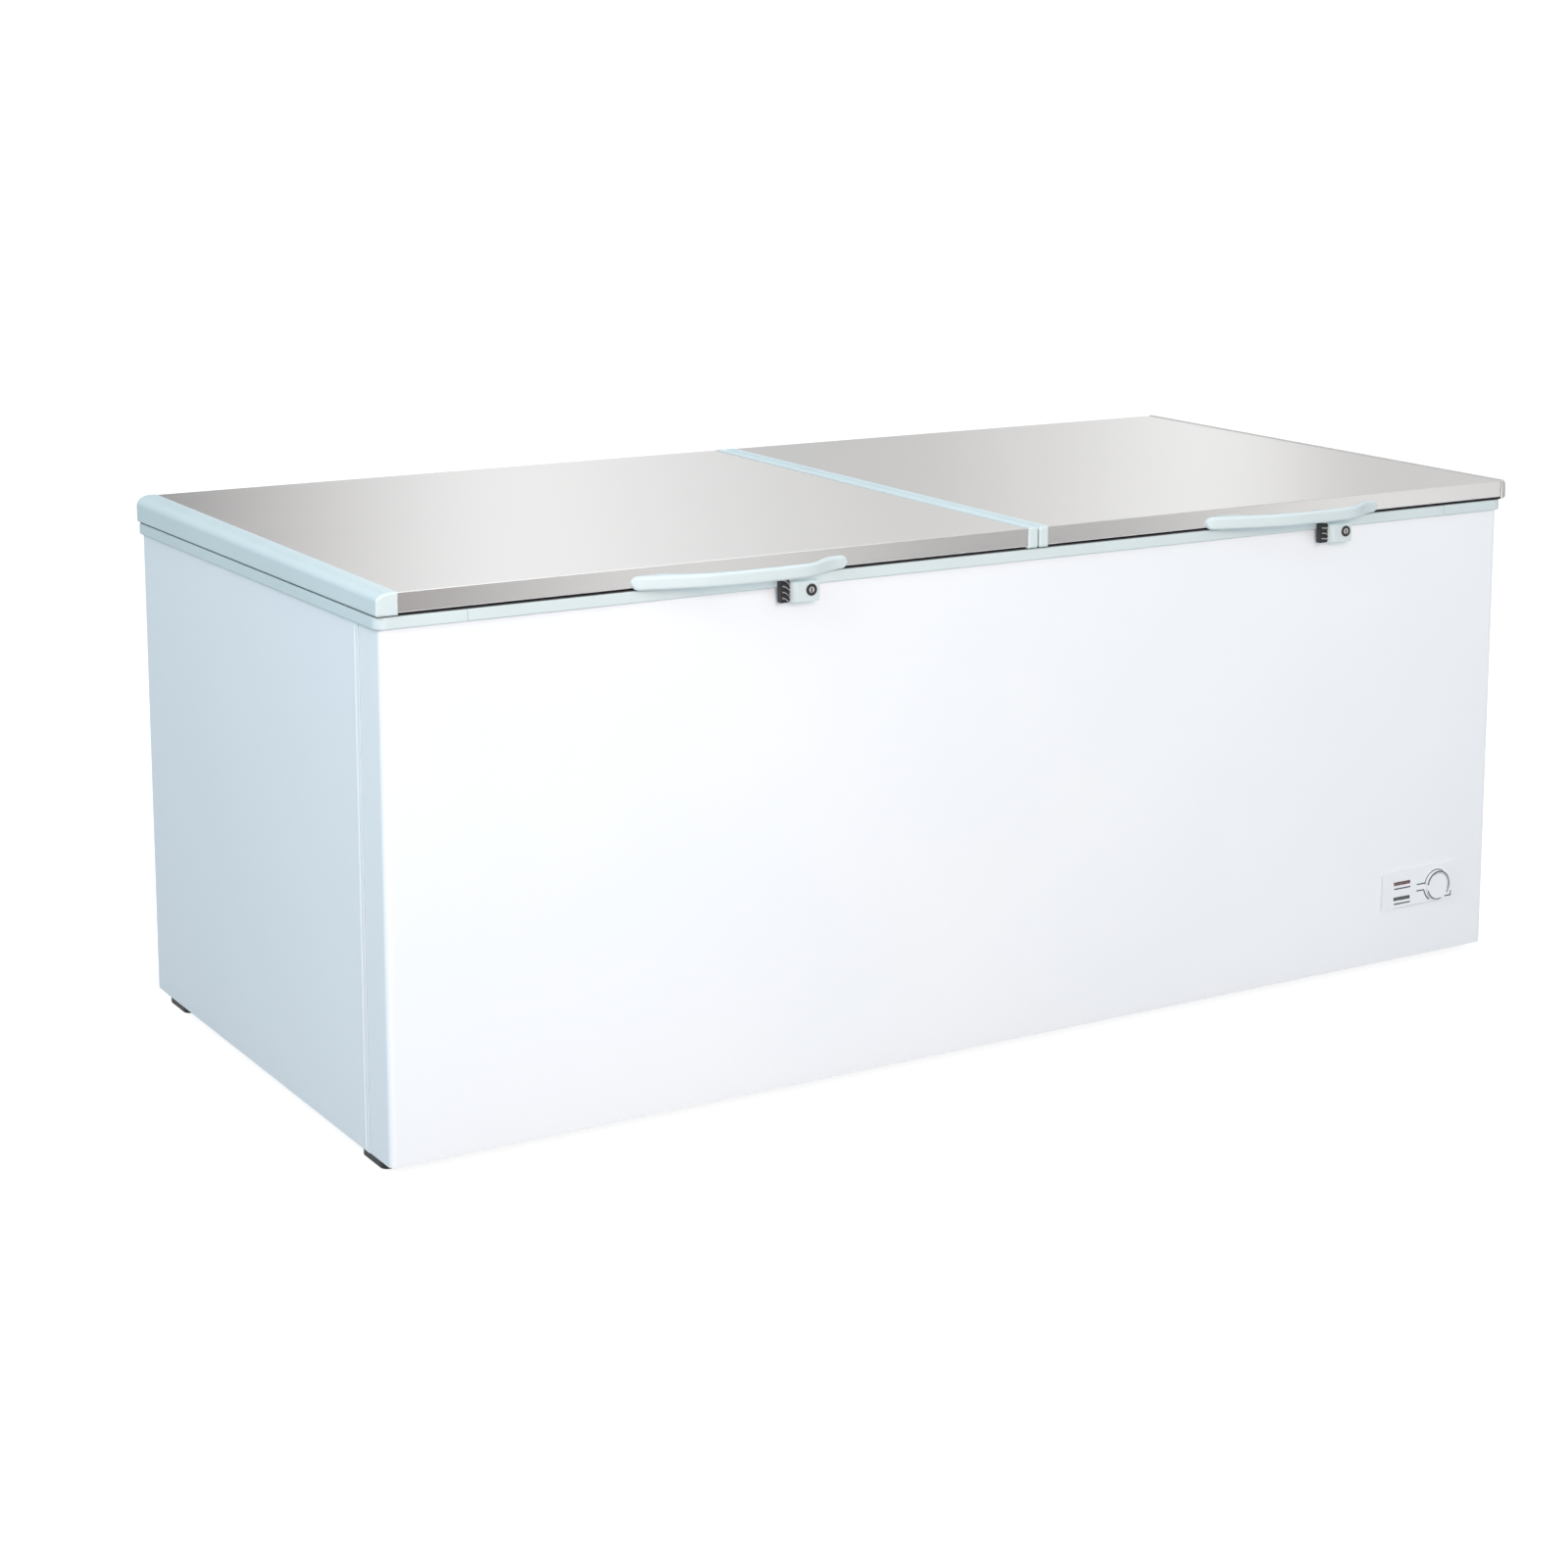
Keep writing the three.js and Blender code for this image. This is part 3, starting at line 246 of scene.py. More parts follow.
def rubber():
    s = Shader("rubber")
    dust = s.span(s.noise(70, 4), 0, 1)
    colour = s.blend_colour(dust, (0.028, 0.030, 0.032), (0.05, 0.053, 0.056))
    return s.set(Base_Color=colour, Roughness=s.span(s.noise(90, 3), 0.6, 0.78),
                 Normal=s.bump(s.noise(900, 3, seed=11.0), 0.00004, 0.7))


def lens(name, colour):
    s = Shader(name)
    shade = s.blend_colour(s.span(s.noise(220, 2), 0, 1), tuple(0.6 * c for c in colour), colour)
    return s.set(Base_Color=shade, Roughness=s.span(s.noise(150, 2, seed=12.0), 0.12, 0.2),
                 Coat_Weight=0.6, Coat_Roughness=0.05)


MATERIALS = {
    "white_paint": white_paint(),
    "mint_plastic": moulded_plastic("mint_plastic", (0.63, 0.71, 0.715), (0.66, 0.74, 0.745)),
    "brushed_steel": brushed_steel(),
    # The right lid's steel, with painted shade darker towards its rear left.
    "brushed_steel_right_painted_shade": brushed_steel("brushed_steel_right_painted_shade", (0.7, 1.0)),
    "steel_trim": plain_metal("steel_trim", (0.66, 0.655, 0.65), (0.74, 0.735, 0.73), (0.3, 0.38)),
    "embossed_aluminium": embossed_aluminium(),
    "white_plastic": moulded_plastic("white_plastic", (0.80, 0.835, 0.855), (0.84, 0.865, 0.88)),
    "plate_plastic": moulded_plastic(
        "plate_plastic", (0.85, 0.875, 0.895), (0.875, 0.895, 0.91), (0.3, 0.36), 0.00001),
    "foam": foam(),
    "rubber": rubber(),
    "black_plastic": moulded_plastic(
        "black_plastic", (0.012, 0.013, 0.015), (0.02, 0.021, 0.023), (0.4, 0.55), 0.00006),
    "black_paint": satin_paint(),
    "zinc_steel": plain_metal("zinc_steel", (0.42, 0.44, 0.46), (0.55, 0.57, 0.58), (0.32, 0.5)),
    "chrome": plain_metal("chrome", (0.78, 0.79, 0.80), (0.84, 0.85, 0.86), (0.1, 0.16), 3000),
    "aluminium": plain_metal("aluminium", (0.68, 0.70, 0.71), (0.76, 0.78, 0.79), (0.28, 0.42)),
    "red_lens": lens("red_lens", (0.09, 0.015, 0.012)),
    "green_lens": lens("green_lens", (0.008, 0.02, 0.02)),
    # Painted shadow along the control plate's edges.
    "painted_shadow_line": moulded_plastic("painted_shadow_line", (0.50, 0.56, 0.60), (0.56, 0.62, 0.66), (0.4, 0.5)),
    # Dark grey for print, and for the painted shadow arc round the dial; the dial's dark ring wears it
    # too.
    "grey_print_and_painted_shadow": moulded_plastic("grey_print_and_painted_shadow", (0.035, 0.038, 0.05), (0.05, 0.053, 0.066), (0.5, 0.6)),
}


# ---------------------------------------------------------------- CAD nodes

EDGE_ANGLE = math.radians(32)
EDGE_ROUND = 0.35 * MM
OWN_MATERIAL = {
    "right_lid_outer_cap": "steel_trim", "inner_liner": "embossed_aluminium",
    "control_plate": "plate_plastic", "left_lock_cylinder": "steel_trim",
    "right_lock_cylinder": "steel_trim",
}


def weigh_shading(piece):
    """Keeps large flat faces flat, so that only small rounds and bends shade smoothly."""
    even = piece.modifiers.new("even_shading", "WEIGHTED_NORMAL")
    even.weight = 90
    even.keep_sharp = True


def finish_cad_nodes():
    """Gives each node its slot's material, and its sharp edges the small round that catches light."""
    slots = {part["node"]: part["material_slot"] for part in frame["record"]["subparts"]}
    for name, node in NODES.items():
        node.data.materials.clear()
        node.data.materials.append(MATERIALS[OWN_MATERIAL.get(name, slots[name])])
        weld = node.modifiers.new("weld", "WELD")
        weld.merge_threshold = 0.01 * MM
        bevel = node.modifiers.new("edge", "BEVEL")
        bevel.width = EDGE_ROUND
        bevel.segments = 2
        bevel.limit_method = "ANGLE"
        bevel.angle_limit = EDGE_ANGLE
        node.data.shade_smooth()
        weigh_shading(node)


# ---------------------------------------------------------------- piece helpers

SHARP_ANGLE = math.radians(40)


def new_piece(name, body, slot, shape, material=None, stands_for=()):
    """Turns a bmesh into a named piece that rides on a body and wears its slot's material."""
    bmesh.ops.recalc_face_normals(shape, faces=shape.faces)
    mesh = bpy.data.meshes.new(name)
    shape.to_mesh(mesh)
    shape.free()
    mesh.shade_smooth()
    mesh.set_sharp_from_angle(angle=SHARP_ANGLE)
    mesh.materials.append(MATERIALS[material or slot])
    piece = bpy.data.objects.new(name, mesh)
    bpy.context.scene.collection.objects.link(piece)
    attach(piece, body)
    if stands_for:
        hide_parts(*stands_for)
    weigh_shading(piece)
    return piece


def loft(shape, rings, capped=True, looped=False):
    """Joins rings of points into a skin, with end caps or as a closed loop."""
    loops = [[shape.verts.new(point) for point in ring] for ring in rings]
    pairs = list(zip(loops, loops[1:]))
    if looped:
        pairs.append((loops[-1], loops[0]))
    for first, second in pairs:
        for index in range(len(first)):
            after = (index + 1) % len(first)
            shape.faces.new((first[index], first[after], second[after], second[index]))
    if capped and not looped:
        shape.faces.new(loops[0])
        shape.faces.new(loops[-1])
    return shape


def rounded_outline(low, high, radius, steps=5):
    """Points round a rectangle with rounded corners, as pairs."""
    points = []
    centres = (
        (high[0] - radius, high[1] - radius, 0), (low[0] + radius, high[1] - radius, 90),
        (low[0] + radius, low[1] + radius, 180), (high[0] - radius, low[1] + radius, 270),
    )
    for u, v, start in centres:
        for step in range(steps + 1):
            angle = math.radians(start + 90 * step / steps)
            points.append((u + radius * math.cos(angle), v + radius * math.sin(angle)))
    return points


def turned(shape, centre, profile, steps=40):
    """Spins a closed profile of (radius, distance along Y) round a centre."""
    along = Vector((0, 1, 0))
    rings = []
    for step in range(steps):
        angle = 2 * math.pi * step / steps
        spoke = Vector((math.cos(angle), 0, math.sin(angle)))
        rings.append([centre + spoke * radius + along * reach for radius, reach in profile])
    return loft(shape, rings, looped=True)


def slab_xz(shape, outline, front, back):
    """A flat shape drawn in X and Z, given a thickness along Y."""
    return loft(shape, [[Vector((x, y, z)) for x, z in outline] for y in (front, back)])


def arc_points(centre, radius, start, end, steps=24):
    angles = [math.radians(start + (end - start) * step / steps) for step in range(steps + 1)]
    return [(centre[0] + radius * math.cos(a), centre[1] + radius * math.sin(a)) for a in angles]


def smooth_value(points, share):
    """Reads a smooth curve through (share, value) points."""
    index = 0
    while index < len(points) - 2 and share > points[index + 1][0]:
        index += 1
    first, second = points[index], points[index + 1]
    before = points[max(index - 1, 0)]
    after = points[min(index + 2, len(points) - 1)]
    span = second[0] - first[0]
    step = max(0.0, min(1.0, (share - first[0]) / span))
    leave = span * (second[1] - before[1]) / (second[0] - before[0])
    arrive = span * (after[1] - first[1]) / (after[0] - first[0])
    start_pull = (1 + 2 * step) * (1 - step) ** 2 * first[1] + step * (1 - step) ** 2 * leave
    end_pull = step ** 2 * (3 - 2 * step) * second[1] + step ** 2 * (step - 1) * arrive
    return start_pull + end_pull


# ---------------------------------------------------------------- lids

LID_RISE = 10 * MM
SKIN_BEND = 1.6 * MM
SKIN_SHEET = 0.8 * MM
HEM = 9 * MM
HEM_BEND = 1.5 * MM
HEM_RISE = 0.2 * MM
HEM_TIP_RISE = 1.2 * MM


def skin_path(low, high):
    """The lid sheet's cross-section in Y and Z, from the front hem over the top to the rear hem."""
    front, rear, base = low.y, high.y, low.z
    front_top = high.z - LID_RISE
    path = [
        (front + HEM, base + HEM_TIP_RISE), (front + HEM_BEND, base + HEM_RISE), (front, base + HEM_BEND),
    ]
    path += arc_points((front + SKIN_BEND, front_top - SKIN_BEND), SKIN_BEND, 180, 92, 8)
    path += arc_points((rear - SKIN_BEND, high.z - SKIN_BEND), SKIN_BEND, 90, 0, 8)
    path += [
        (rear, base + HEM_BEND), (rear - HEM_BEND, base + HEM_RISE), (rear - HEM, base + HEM_TIP_RISE),
    ]
    return path


def lid_sheet(side):
    """The folded steel sheet, with its grain's direction in a UV map."""
    low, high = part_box(f"{side}_lid_skin")
    path = skin_path(low, high)
    shape = bmesh.new()
    grain = shape.loops.layers.uv.new("grain")
    rows = [[shape.verts.new((x, y, z)) for y, z in path] for x in (low.x, high.x)]
    run = [0.0]
    for first, second in zip(path, path[1:]):
        run.append(run[-1] + math.dist(first, second))
    for index in range(len(path) - 1):
        corners = (rows[0][index], rows[0][index + 1], rows[1][index + 1], rows[1][index])
        face = shape.faces.new(corners)
        places = ((0, index), (0, index + 1), (1, index + 1), (1, index))
        for loop, (end, step) in zip(face.loops, places):
            loop[grain].uv = ((low.x, high.x)[end], run[step])
    # The right lid's sheet wears the copy of the steel with painted shade.
    material = "brushed_steel" if side == "left" else "brushed_steel_right_painted_shade"
    sheet = new_piece(f"{side}_steel_sheet", f"{side}_lid", "brushed_steel", shape, material,
                      stands_for=[f"{side}_lid_skin"])
    sheet.modifiers.clear()
    thickness = sheet.modifiers.new("sheet", "SOLIDIFY")
    thickness.thickness = SKIN_SHEET
    thickness.offset = -1
    weigh_shading(sheet)


# (share of the length, distance in front of the lid in millimetres) along the grip
GRIP_FACE = (
    (0.0, 8), (0.02, 13), (0.085, 21), (0.21, 34), (0.33, 44.5), (0.46, 48.9), (0.62, 48.9),
    (0.75, 46), (0.82, 37), (0.885, 22), (0.94, 13), (1.0, 8),
)
GRIP_BACK = (
    (0.155, 0.4), (0.225, 20), (0.33, 32), (0.46, 37), (0.62, 38), (0.77, 35), (0.83, 24),
    (0.88, 8), (0.92, 0.4),
)
GRIP_GAP = 0.4
GRIP_TIP = 10 * MM
GRIP_CORNER = 4.5 * MM
GRIP_SECTIONS = 110


def grip_half_height(distance_from_end, half):
    """The grip's ends are rounded in the front view."""
    share = min(1.0, distance_from_end / GRIP_TIP)
    return max(0.8 * MM, half * math.sqrt(share * (2 - share)))


def grip(side):
    """A wavy moulded grip with rounded tips. It stays out of mirror-like reflections."""
    low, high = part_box(f"{side}_handle")
    lid_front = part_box(f"{side}_lid_skin")[0].y
    half = (high.z - low.z) / 2
    middle = (high.z + low.z) / 2
    rings = []
    for step in range(GRIP_SECTIONS + 1):
        share = 0.5 - 0.5 * math.cos(math.pi * step / GRIP_SECTIONS)
        x = low.x + share * (high.x - low.x)
        front = lid_front - smooth_value(GRIP_FACE, share) * MM
        back = lid_front - max(GRIP_GAP, smooth_value(GRIP_BACK, share)) * MM
        if share < GRIP_BACK[0][0] or share > GRIP_BACK[-1][0]:
            back = lid_front - GRIP_GAP * MM
        tall = grip_half_height(min(x - low.x, high.x - x), half)
        corner = min(GRIP_CORNER, 0.48 * (back - front), 0.96 * tall)
        outline = rounded_outline((front, middle - tall), (back, middle + tall), corner)
        rings.append([Vector((x, y, z)) for y, z in outline])
    piece = new_piece(f"{side}_grip", f"{side}_lid", "mint_plastic", loft(bmesh.new(), rings),
                      stands_for=[f"{side}_handle"])
    piece.visible_glossy = False


RIB_PLACES = (0.3, 0.68)
RIB_INSET = 7 * MM
RIB_WIDTH = 2.6 * MM
RIB_HEIGHT = 0.9 * MM
RIB_SUNK = 0.3 * MM
RIB_TAPER = 3 * MM


def cap_rib(x, start, end):
    """A low half-round rib from front to rear. `start` and `end` are places in Y and Z."""
    rings = []
    for (y, z), inward, size in ((start, 0, 0.2), (start, 1, 1), (end, -1, 1), (end, 0, 0.2)):
        arch = arc_points((0, 0), size, 0, 180, 8)
        rings.append([
            Vector((x + u * RIB_WIDTH / 2, y + inward * RIB_TAPER, z - RIB_SUNK + v * RIB_HEIGHT))
            for u, v in arch])
    return loft(bmesh.new(), rings)


def cap_ribs(side):
    """Moulded ribs along the top of a lid's inner end cap."""
    low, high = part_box(f"{side}_lid_inner_cap")
    start = (low.y + RIB_INSET, high.z - LID_RISE)
    end = (high.y - RIB_INSET, high.z)
    for index, share in enumerate(RIB_PLACES):
        rib = cap_rib(low.x + share * (high.x - low.x), start, end)
        new_piece(f"{side}_cap_rib_{index + 1}", f"{side}_lid", "mint_plastic", rib)


# (share of the half width, share of the height) round the seal's folded cross-section
BELLOWS = (
    (-1.0, 0.0), (-1.0, 0.9), (-0.55, 1.0), (-0.4, 0.72), (-0.2, 0.72), (0.0, 1.0), (0.45, 0.72),
    (0.6, 1.0), (1.0, 0.9), (1.0, 0.1), (0.7, 0.0), (0.5, 0.25), (0.2, 0.0), (-0.15, 0.0),
    (-0.4, 0.25), (-0.7, 0.0),
)
SEAL_HALF_WIDTH = 6 * MM
SEAL_CORNER = 8 * MM


def door_seal(side):
    """A folded rubber seal round the lid's underside."""
    low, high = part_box(f"{side}_lid_gasket")
    tall = high.z - low.z
    rings = []
    plan = rounded_outline((low.x + SEAL_HALF_WIDTH, low.y + SEAL_HALF_WIDTH),
                           (high.x - SEAL_HALF_WIDTH, high.y - SEAL_HALF_WIDTH), SEAL_CORNER, 6)
    centre = ((low.x + high.x) / 2, (low.y + high.y) / 2)
    for index, (x, y) in enumerate(plan):
        before, after = plan[index - 1], plan[(index + 1) % len(plan)]
        way = Vector((after[1] - before[1], before[0] - after[0], 0)).normalized()
        if way.dot(Vector((x - centre[0], y - centre[1], 0))) < 0:
            way = -way
        rings.append([
            Vector((x, y, low.z + up * tall)) + way * out * SEAL_HALF_WIDTH for out, up in BELLOWS])
    new_piece(f"{side}_door_seal", f"{side}_lid", "rubber", loft(bmesh.new(), rings, looped=True),
              stands_for=[f"{side}_lid_gasket"])


FLANGE_INSET = 3.6 * MM
FLANGE_THICKNESS = 1.1 * MM
FLANGE_LIFT = 0.5 * MM
FLANGE_CORNER = 3 * MM


def gap_shade_seal_flange(side):
    """The seal's flat rubber flange, reaching out near the lid's edge: a part of the seal, and also a
    dark sheet that stands in for the shade in the gap between the lid and the rim.
    """
    low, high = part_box(f"{side}_lid_gasket")
    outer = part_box(f"{side}_lid_outer_cap")
    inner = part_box(f"{side}_lid_inner_cap")
    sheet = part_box(f"{side}_lid_skin")
    left = min(outer[0].x, inner[0].x) + FLANGE_INSET
    right = max(outer[1].x, inner[1].x) - FLANGE_INSET
    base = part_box("rim_left")[1].z + FLANGE_LIFT
    top = base + FLANGE_THICKNESS
    wide = rounded_outline(
        (left, sheet[0].y + FLANGE_INSET), (right, sheet[1].y - FLANGE_INSET), FLANGE_CORNER)
    narrow = rounded_outline(
        (low.x + FLANGE_CORNER, low.y + FLANGE_CORNER),
        (high.x - FLANGE_CORNER, high.y - FLANGE_CORNER), FLANGE_CORNER)
    rings = []
    for (x, y), (u, v) in zip(wide, narrow):
        corners = ((x, y, base), (x, y, top), (u, v, top), (u, v, base))
        rings.append([Vector(corner) for corner in corners])
    # Dark rubber that also stands in for the shade in the gap under the lid.
    new_piece(f"{side}_gap_shade_seal_flange", f"{side}_lid", "rubber", loft(bmesh.new(), rings, looped=True))


# ---------------------------------------------------------------- locks

STRIKE_RIB_FALL = {"left": 7 * MM, "right": 1.5 * MM}
STRIKE_RIB_COUNT = 4
STRIKE_RIB_PITCH = 9 * MM
STRIKE_RIB_INSET = 1.5 * MM
STRIKE_RIB_HALF = 1.1 * MM
STRIKE_RIB_STEPS = 8


def strike_rib(low, high, start, fall):
    """The cross-sections of one rib, from the strike's left edge to its right edge or lower end."""
    rings = []
    for step in range(STRIKE_RIB_STEPS + 1):
        share = step / STRIKE_RIB_STEPS
        x = low.x + STRIKE_RIB_INSET + share * (high.x - low.x - 2 * STRIKE_RIB_INSET)
        z = start - fall * share * share
        if z < low.z + STRIKE_RIB_INSET:
            break
        outline = rounded_outline((low.y - 0.5 * MM, z - STRIKE_RIB_HALF),
                                  (low.y + 3 * MM, z + STRIKE_RIB_HALF), 0.8 * MM, 2)
        rings.append([Vector((x, y, height)) for y, height in outline])
    return rings


def strike_ribs(side):
    """Curved metal ribs across the face of the dark lock strike."""
    low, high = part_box(f"{side}_lock_strike")
    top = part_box(f"{side}_handle")[0].z - 7 * MM
    shape = bmesh.new()
    for index in range(STRIKE_RIB_COUNT):
        rings = strike_rib(low, high, top - index * STRIKE_RIB_PITCH, STRIKE_RIB_FALL[side])
        if len(rings) > 2:
            loft(shape, rings)
    new_piece(f"{side}_strike_ribs", f"{side}_lid", "zinc_steel", shape)


RING_OVERHANG = 1.1 * MM
RING_INWARD = 3.2 * MM
RING_CLEARANCE = 0.45 * MM
SLOT_HALF_WIDTH = 1.1 * MM


def cylinder_place(side):
    """The centre of the key cylinder's face, and its radius."""
    low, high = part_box(f"{side}_lock_cylinder")
    return Vector(((low.x + high.x) / 2, low.y, (low.z + high.z) / 2)), (high.x - low.x) / 2


def key_ring(side):
    """The dark ring round the key cylinder, clear of the cylinder that turns in it."""
    centre, radius = cylinder_place(side)
    outer = radius + RING_OVERHANG
    inner = radius - RING_INWARD
    clear = radius + RING_CLEARANCE
    profile = [
        (outer, 1.1 * MM), (outer, -0.2 * MM), (outer - 0.7 * MM, -0.9 * MM),
        (inner + 0.7 * MM, -0.9 * MM), (inner, -0.3 * MM), (inner, -0.1 * MM),
        (clear, -0.1 * MM), (clear, 1.1 * MM),
    ]
    new_piece(f"{side}_key_ring", "cabinet", "black_plastic", turned(bmesh.new(), centre, profile))


def key_slot(side):
    """The dark keyway in the face of the key cylinder."""
    centre = cylinder_place(side)[0]
    outline = rounded_outline((centre.x - SLOT_HALF_WIDTH, centre.z - 4.2 * MM),
                              (centre.x + SLOT_HALF_WIDTH, centre.z + 3 * MM), 1 * MM, 3)
    slot = slab_xz(bmesh.new(), outline, centre.y - 0.15 * MM, centre.y + 0.5 * MM)
    new_piece(f"{side}_key_slot", f"{side}_cylinder", "black_plastic", slot)


# ---------------------------------------------------------------- controls

MARK_RISE = 0.25 * MM


def mark(shape, middle, width, height):
    """A flat bar on the control plate, used for printed bars and for painted shadow lines."""
    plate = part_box("control_plate")[0].y
    low = (middle[0] - width / 2, middle[1] - height / 2)
    high = (middle[0] + width / 2, middle[1] + height / 2)
    outline = rounded_outline(low, high, 0.3 * min(width, height), 2)
    slab_xz(shape, outline, plate - MARK_RISE, plate + MARK_RISE)


def arc_band(centre, inner, outer, start, end):
    """The outline of a curved band."""
    return arc_points(centre, outer, start, end, 60) + arc_points(centre, inner, end, start, 60)


def dial_place():
    """The dial's centre in X and Z, and its radius."""
    low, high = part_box("thermostat_knob")
    return ((low.x + high.x) / 2, (low.z + high.z) / 2), (high.x - low.x) / 2


# Millimetres from the dial's centre to each printed bar's middle, in X and Z, then its width and height
PANEL_BARS = (
    (-79, 5, 38, 2.2), (-79, -22, 38, 2.2), (-35.5, 6, 20, 2), (-37.5, -5.5, 16, 2),
    (28, -24, 14, 2), (35, -20.5, 2, 9),
)
# Millimetres from the dial's edge to each arc's inner and outer edge, then its two angles. The first arc
# is printed; the second, close round the dial from its upper right over the top to the left, is painted
# shadow where the dial meets the plate.
PANEL_PRINT_AND_SHADOW_ARCS = ((2, 4, 190, 238), (0.2, 1.6, 55, 172))


def panel_marks():
    """Printed bars under the lamps, printed bars and a printed arc beside the dial, and an arc of painted
    shadow close round the dial's top and left.
    """
    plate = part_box("control_plate")[0].y
    (x, z), radius = dial_place()
    dark = bmesh.new()
    for across, up, width, height in PANEL_BARS:
        mark(dark, (x + across * MM, z + up * MM), width * MM, height * MM)
    # The arc nearest the dial is painted shadow, the other is print.
    for inner, outer, start, end in PANEL_PRINT_AND_SHADOW_ARCS:
        band = arc_band((x, z), radius + inner * MM, radius + outer * MM, start, end)
        slab_xz(dark, band, plate - MARK_RISE, plate + MARK_RISE)
    new_piece("panel_print_and_painted_shadow", "cabinet", "black_plastic", dark, "grey_print_and_painted_shadow")


def painted_panel_edge_shadows():
    """Faint lines of painted shadow along the control plate's left and lower edges, where the plate's
    edge gap falls in shade.
    """
    low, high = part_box("control_plate")
    shadow_lines = bmesh.new()
    mark(shadow_lines, (low.x + 1.9 * MM, (low.z + high.z) / 2), 1 * MM, high.z - low.z - 10 * MM)
    mark(shadow_lines, ((low.x + high.x) / 2 - 8 * MM, low.z + 1.8 * MM), 110 * MM, 0.7 * MM)
    new_piece("painted_panel_edge_shadows", "cabinet", "black_plastic", shadow_lines, "painted_shadow_line")


DIAL_DEPTH = 6 * MM
DIAL_FLUTES = 48
FLUTE_DEPTH = 0.6 * MM
# (share of the radius, share of the depth, share of the flutes' depth) from the back to the face
DIAL_WALL = ((0.3, 0, 0), (1, 0, 0), (1, 0.1, 1), (0.985, 0.65, 1), (0.975, 0.87, 0), (0.95, 0.98, 0))
DIAL_FACE = ((0.9, 1, 0), (0.84, 0.97, 0), (0.5, 0.92, 0), (0.1, 0.9, 0))


def dial_back():
    """Where the dial's wall starts, just inside the control plate's face."""
    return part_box("control_plate")[0].y - 0.5 * MM


def dial_ring_of_points(centre, radius, y, flute):
    """One loop of the dial's wall. Its flutes are small scallops round the edge."""
    ring = []
    for step in range(DIAL_FLUTES * 4):
        angle = 2 * math.pi * step / (DIAL_FLUTES * 4)
        far = radius - flute * (0.5 + 0.5 * math.cos(DIAL_FLUTES * angle))
        ring.append(Vector((centre[0] + far * math.cos(angle), y, centre[1] + far * math.sin(angle))))
    return ring


def dial():
    """A fluted round dial with a dished face. The dark ring on its face is broken at the left and the
    lower right.
    """
    centre, radius = dial_place()
    rings = []
    for size, reach, flute in DIAL_WALL + DIAL_FACE:
        y = dial_back() - reach * DIAL_DEPTH
        rings.append(dial_ring_of_points(centre, radius * size, y, flute * FLUTE_DEPTH))
    new_piece("thermostat_dial", "knob", "white_plastic", loft(bmesh.new(), rings), "plate_plastic",
              stands_for=["thermostat_knob"])


# (inner and outer share of the dial's radius, start and end angle) of each dark arc on the dial's face
DIAL_ARCS = ((0.90, 0.98, -38, 172), (0.91, 0.97, 196, 285), (0.82, 0.845, -20, 120))


def dial_dark_arcs():
    """The dark ring on the dial's face, with an inner line at the upper right."""
    centre, radius = dial_place()
    face = dial_back() - DIAL_DEPTH
    shape = bmesh.new()
    for inner, outer, start, end in DIAL_ARCS:
        band = arc_band(centre, radius * inner, radius * outer, start, end)
        slab_xz(shape, band, face - 0.12 * MM, face + 0.9 * MM)
    new_piece("dial_ring", "knob", "black_plastic", shape, "grey_print_and_painted_shadow")


# ---------------------------------------------------------------- cabinet trim

SEAM_BEAD = 2.4 * MM
SEAM_RISE = 2.2
SEAM_SUNK = 0.1 * MM


def seam_beads():
    """The rolled edge where the front sheet's sides end."""
    low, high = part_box("front_panel")
    y = high.y - SEAM_BEAD / 2
    levels = (
        (low.z + 1 * MM, 0.6), (low.z + 3 * MM, 1), (high.z - 3 * MM, 1), (high.z - 1 * MM, 0.6),
    )
    for side, x, out in (("left", low.x, -1), ("right", high.x, 1)):
        base = x - out * SEAM_SUNK
        rings = []
        for z, size in levels:
            arch = arc_points((0, 0), SEAM_BEAD / 2 * size, 90, 270, 6)
            rings.append([Vector((base - out * u * SEAM_RISE, y + v, z)) for u, v in arch])
        new_piece(f"{side}_seam_bead", "cabinet", "white_paint", loft(bmesh.new(), rings))


# (share of the radius, height as a share of the radius, whether the loop follows the cross recess)
SCREW_LOOPS = (
    (1.0, 0.0, False), (1.0, 0.25, False), (0.86, 0.48, False), (0.62, 0.6, False),
    (1.0, 0.62, True), (0.9, 0.2, True),
)
SCREW_STEPS = 32
BRACKET_SCREW = 4 * MM
ARM_SCREW = 3.2 * MM
PLATE = 3 * MM


def cross_reach(angle):
    """How far the cross recess reaches from the screw's centre, as a share of the radius."""
    return 0.55 if abs(math.sin(2 * angle)) < 0.42 else 0.2


def screw_head(shape, place, radius):
    """A domed screw head with a cross recess, facing the rear."""
    turn = Vector((0, 1, 0)).to_track_quat("Z", "Y").to_matrix()
    loops = []
    for size, height, is_recess in SCREW_LOOPS:
        loop = []
        for step in range(SCREW_STEPS):
            angle = 2 * math.pi * step / SCREW_STEPS
            reach = size * cross_reach(angle) if is_recess else size
            spot = Vector((math.cos(angle) * reach, math.sin(angle) * reach, height)) * radius
            loop.append(Vector(place) + turn @ spot)
        loops.append(loop)
    loft(shape, loops)


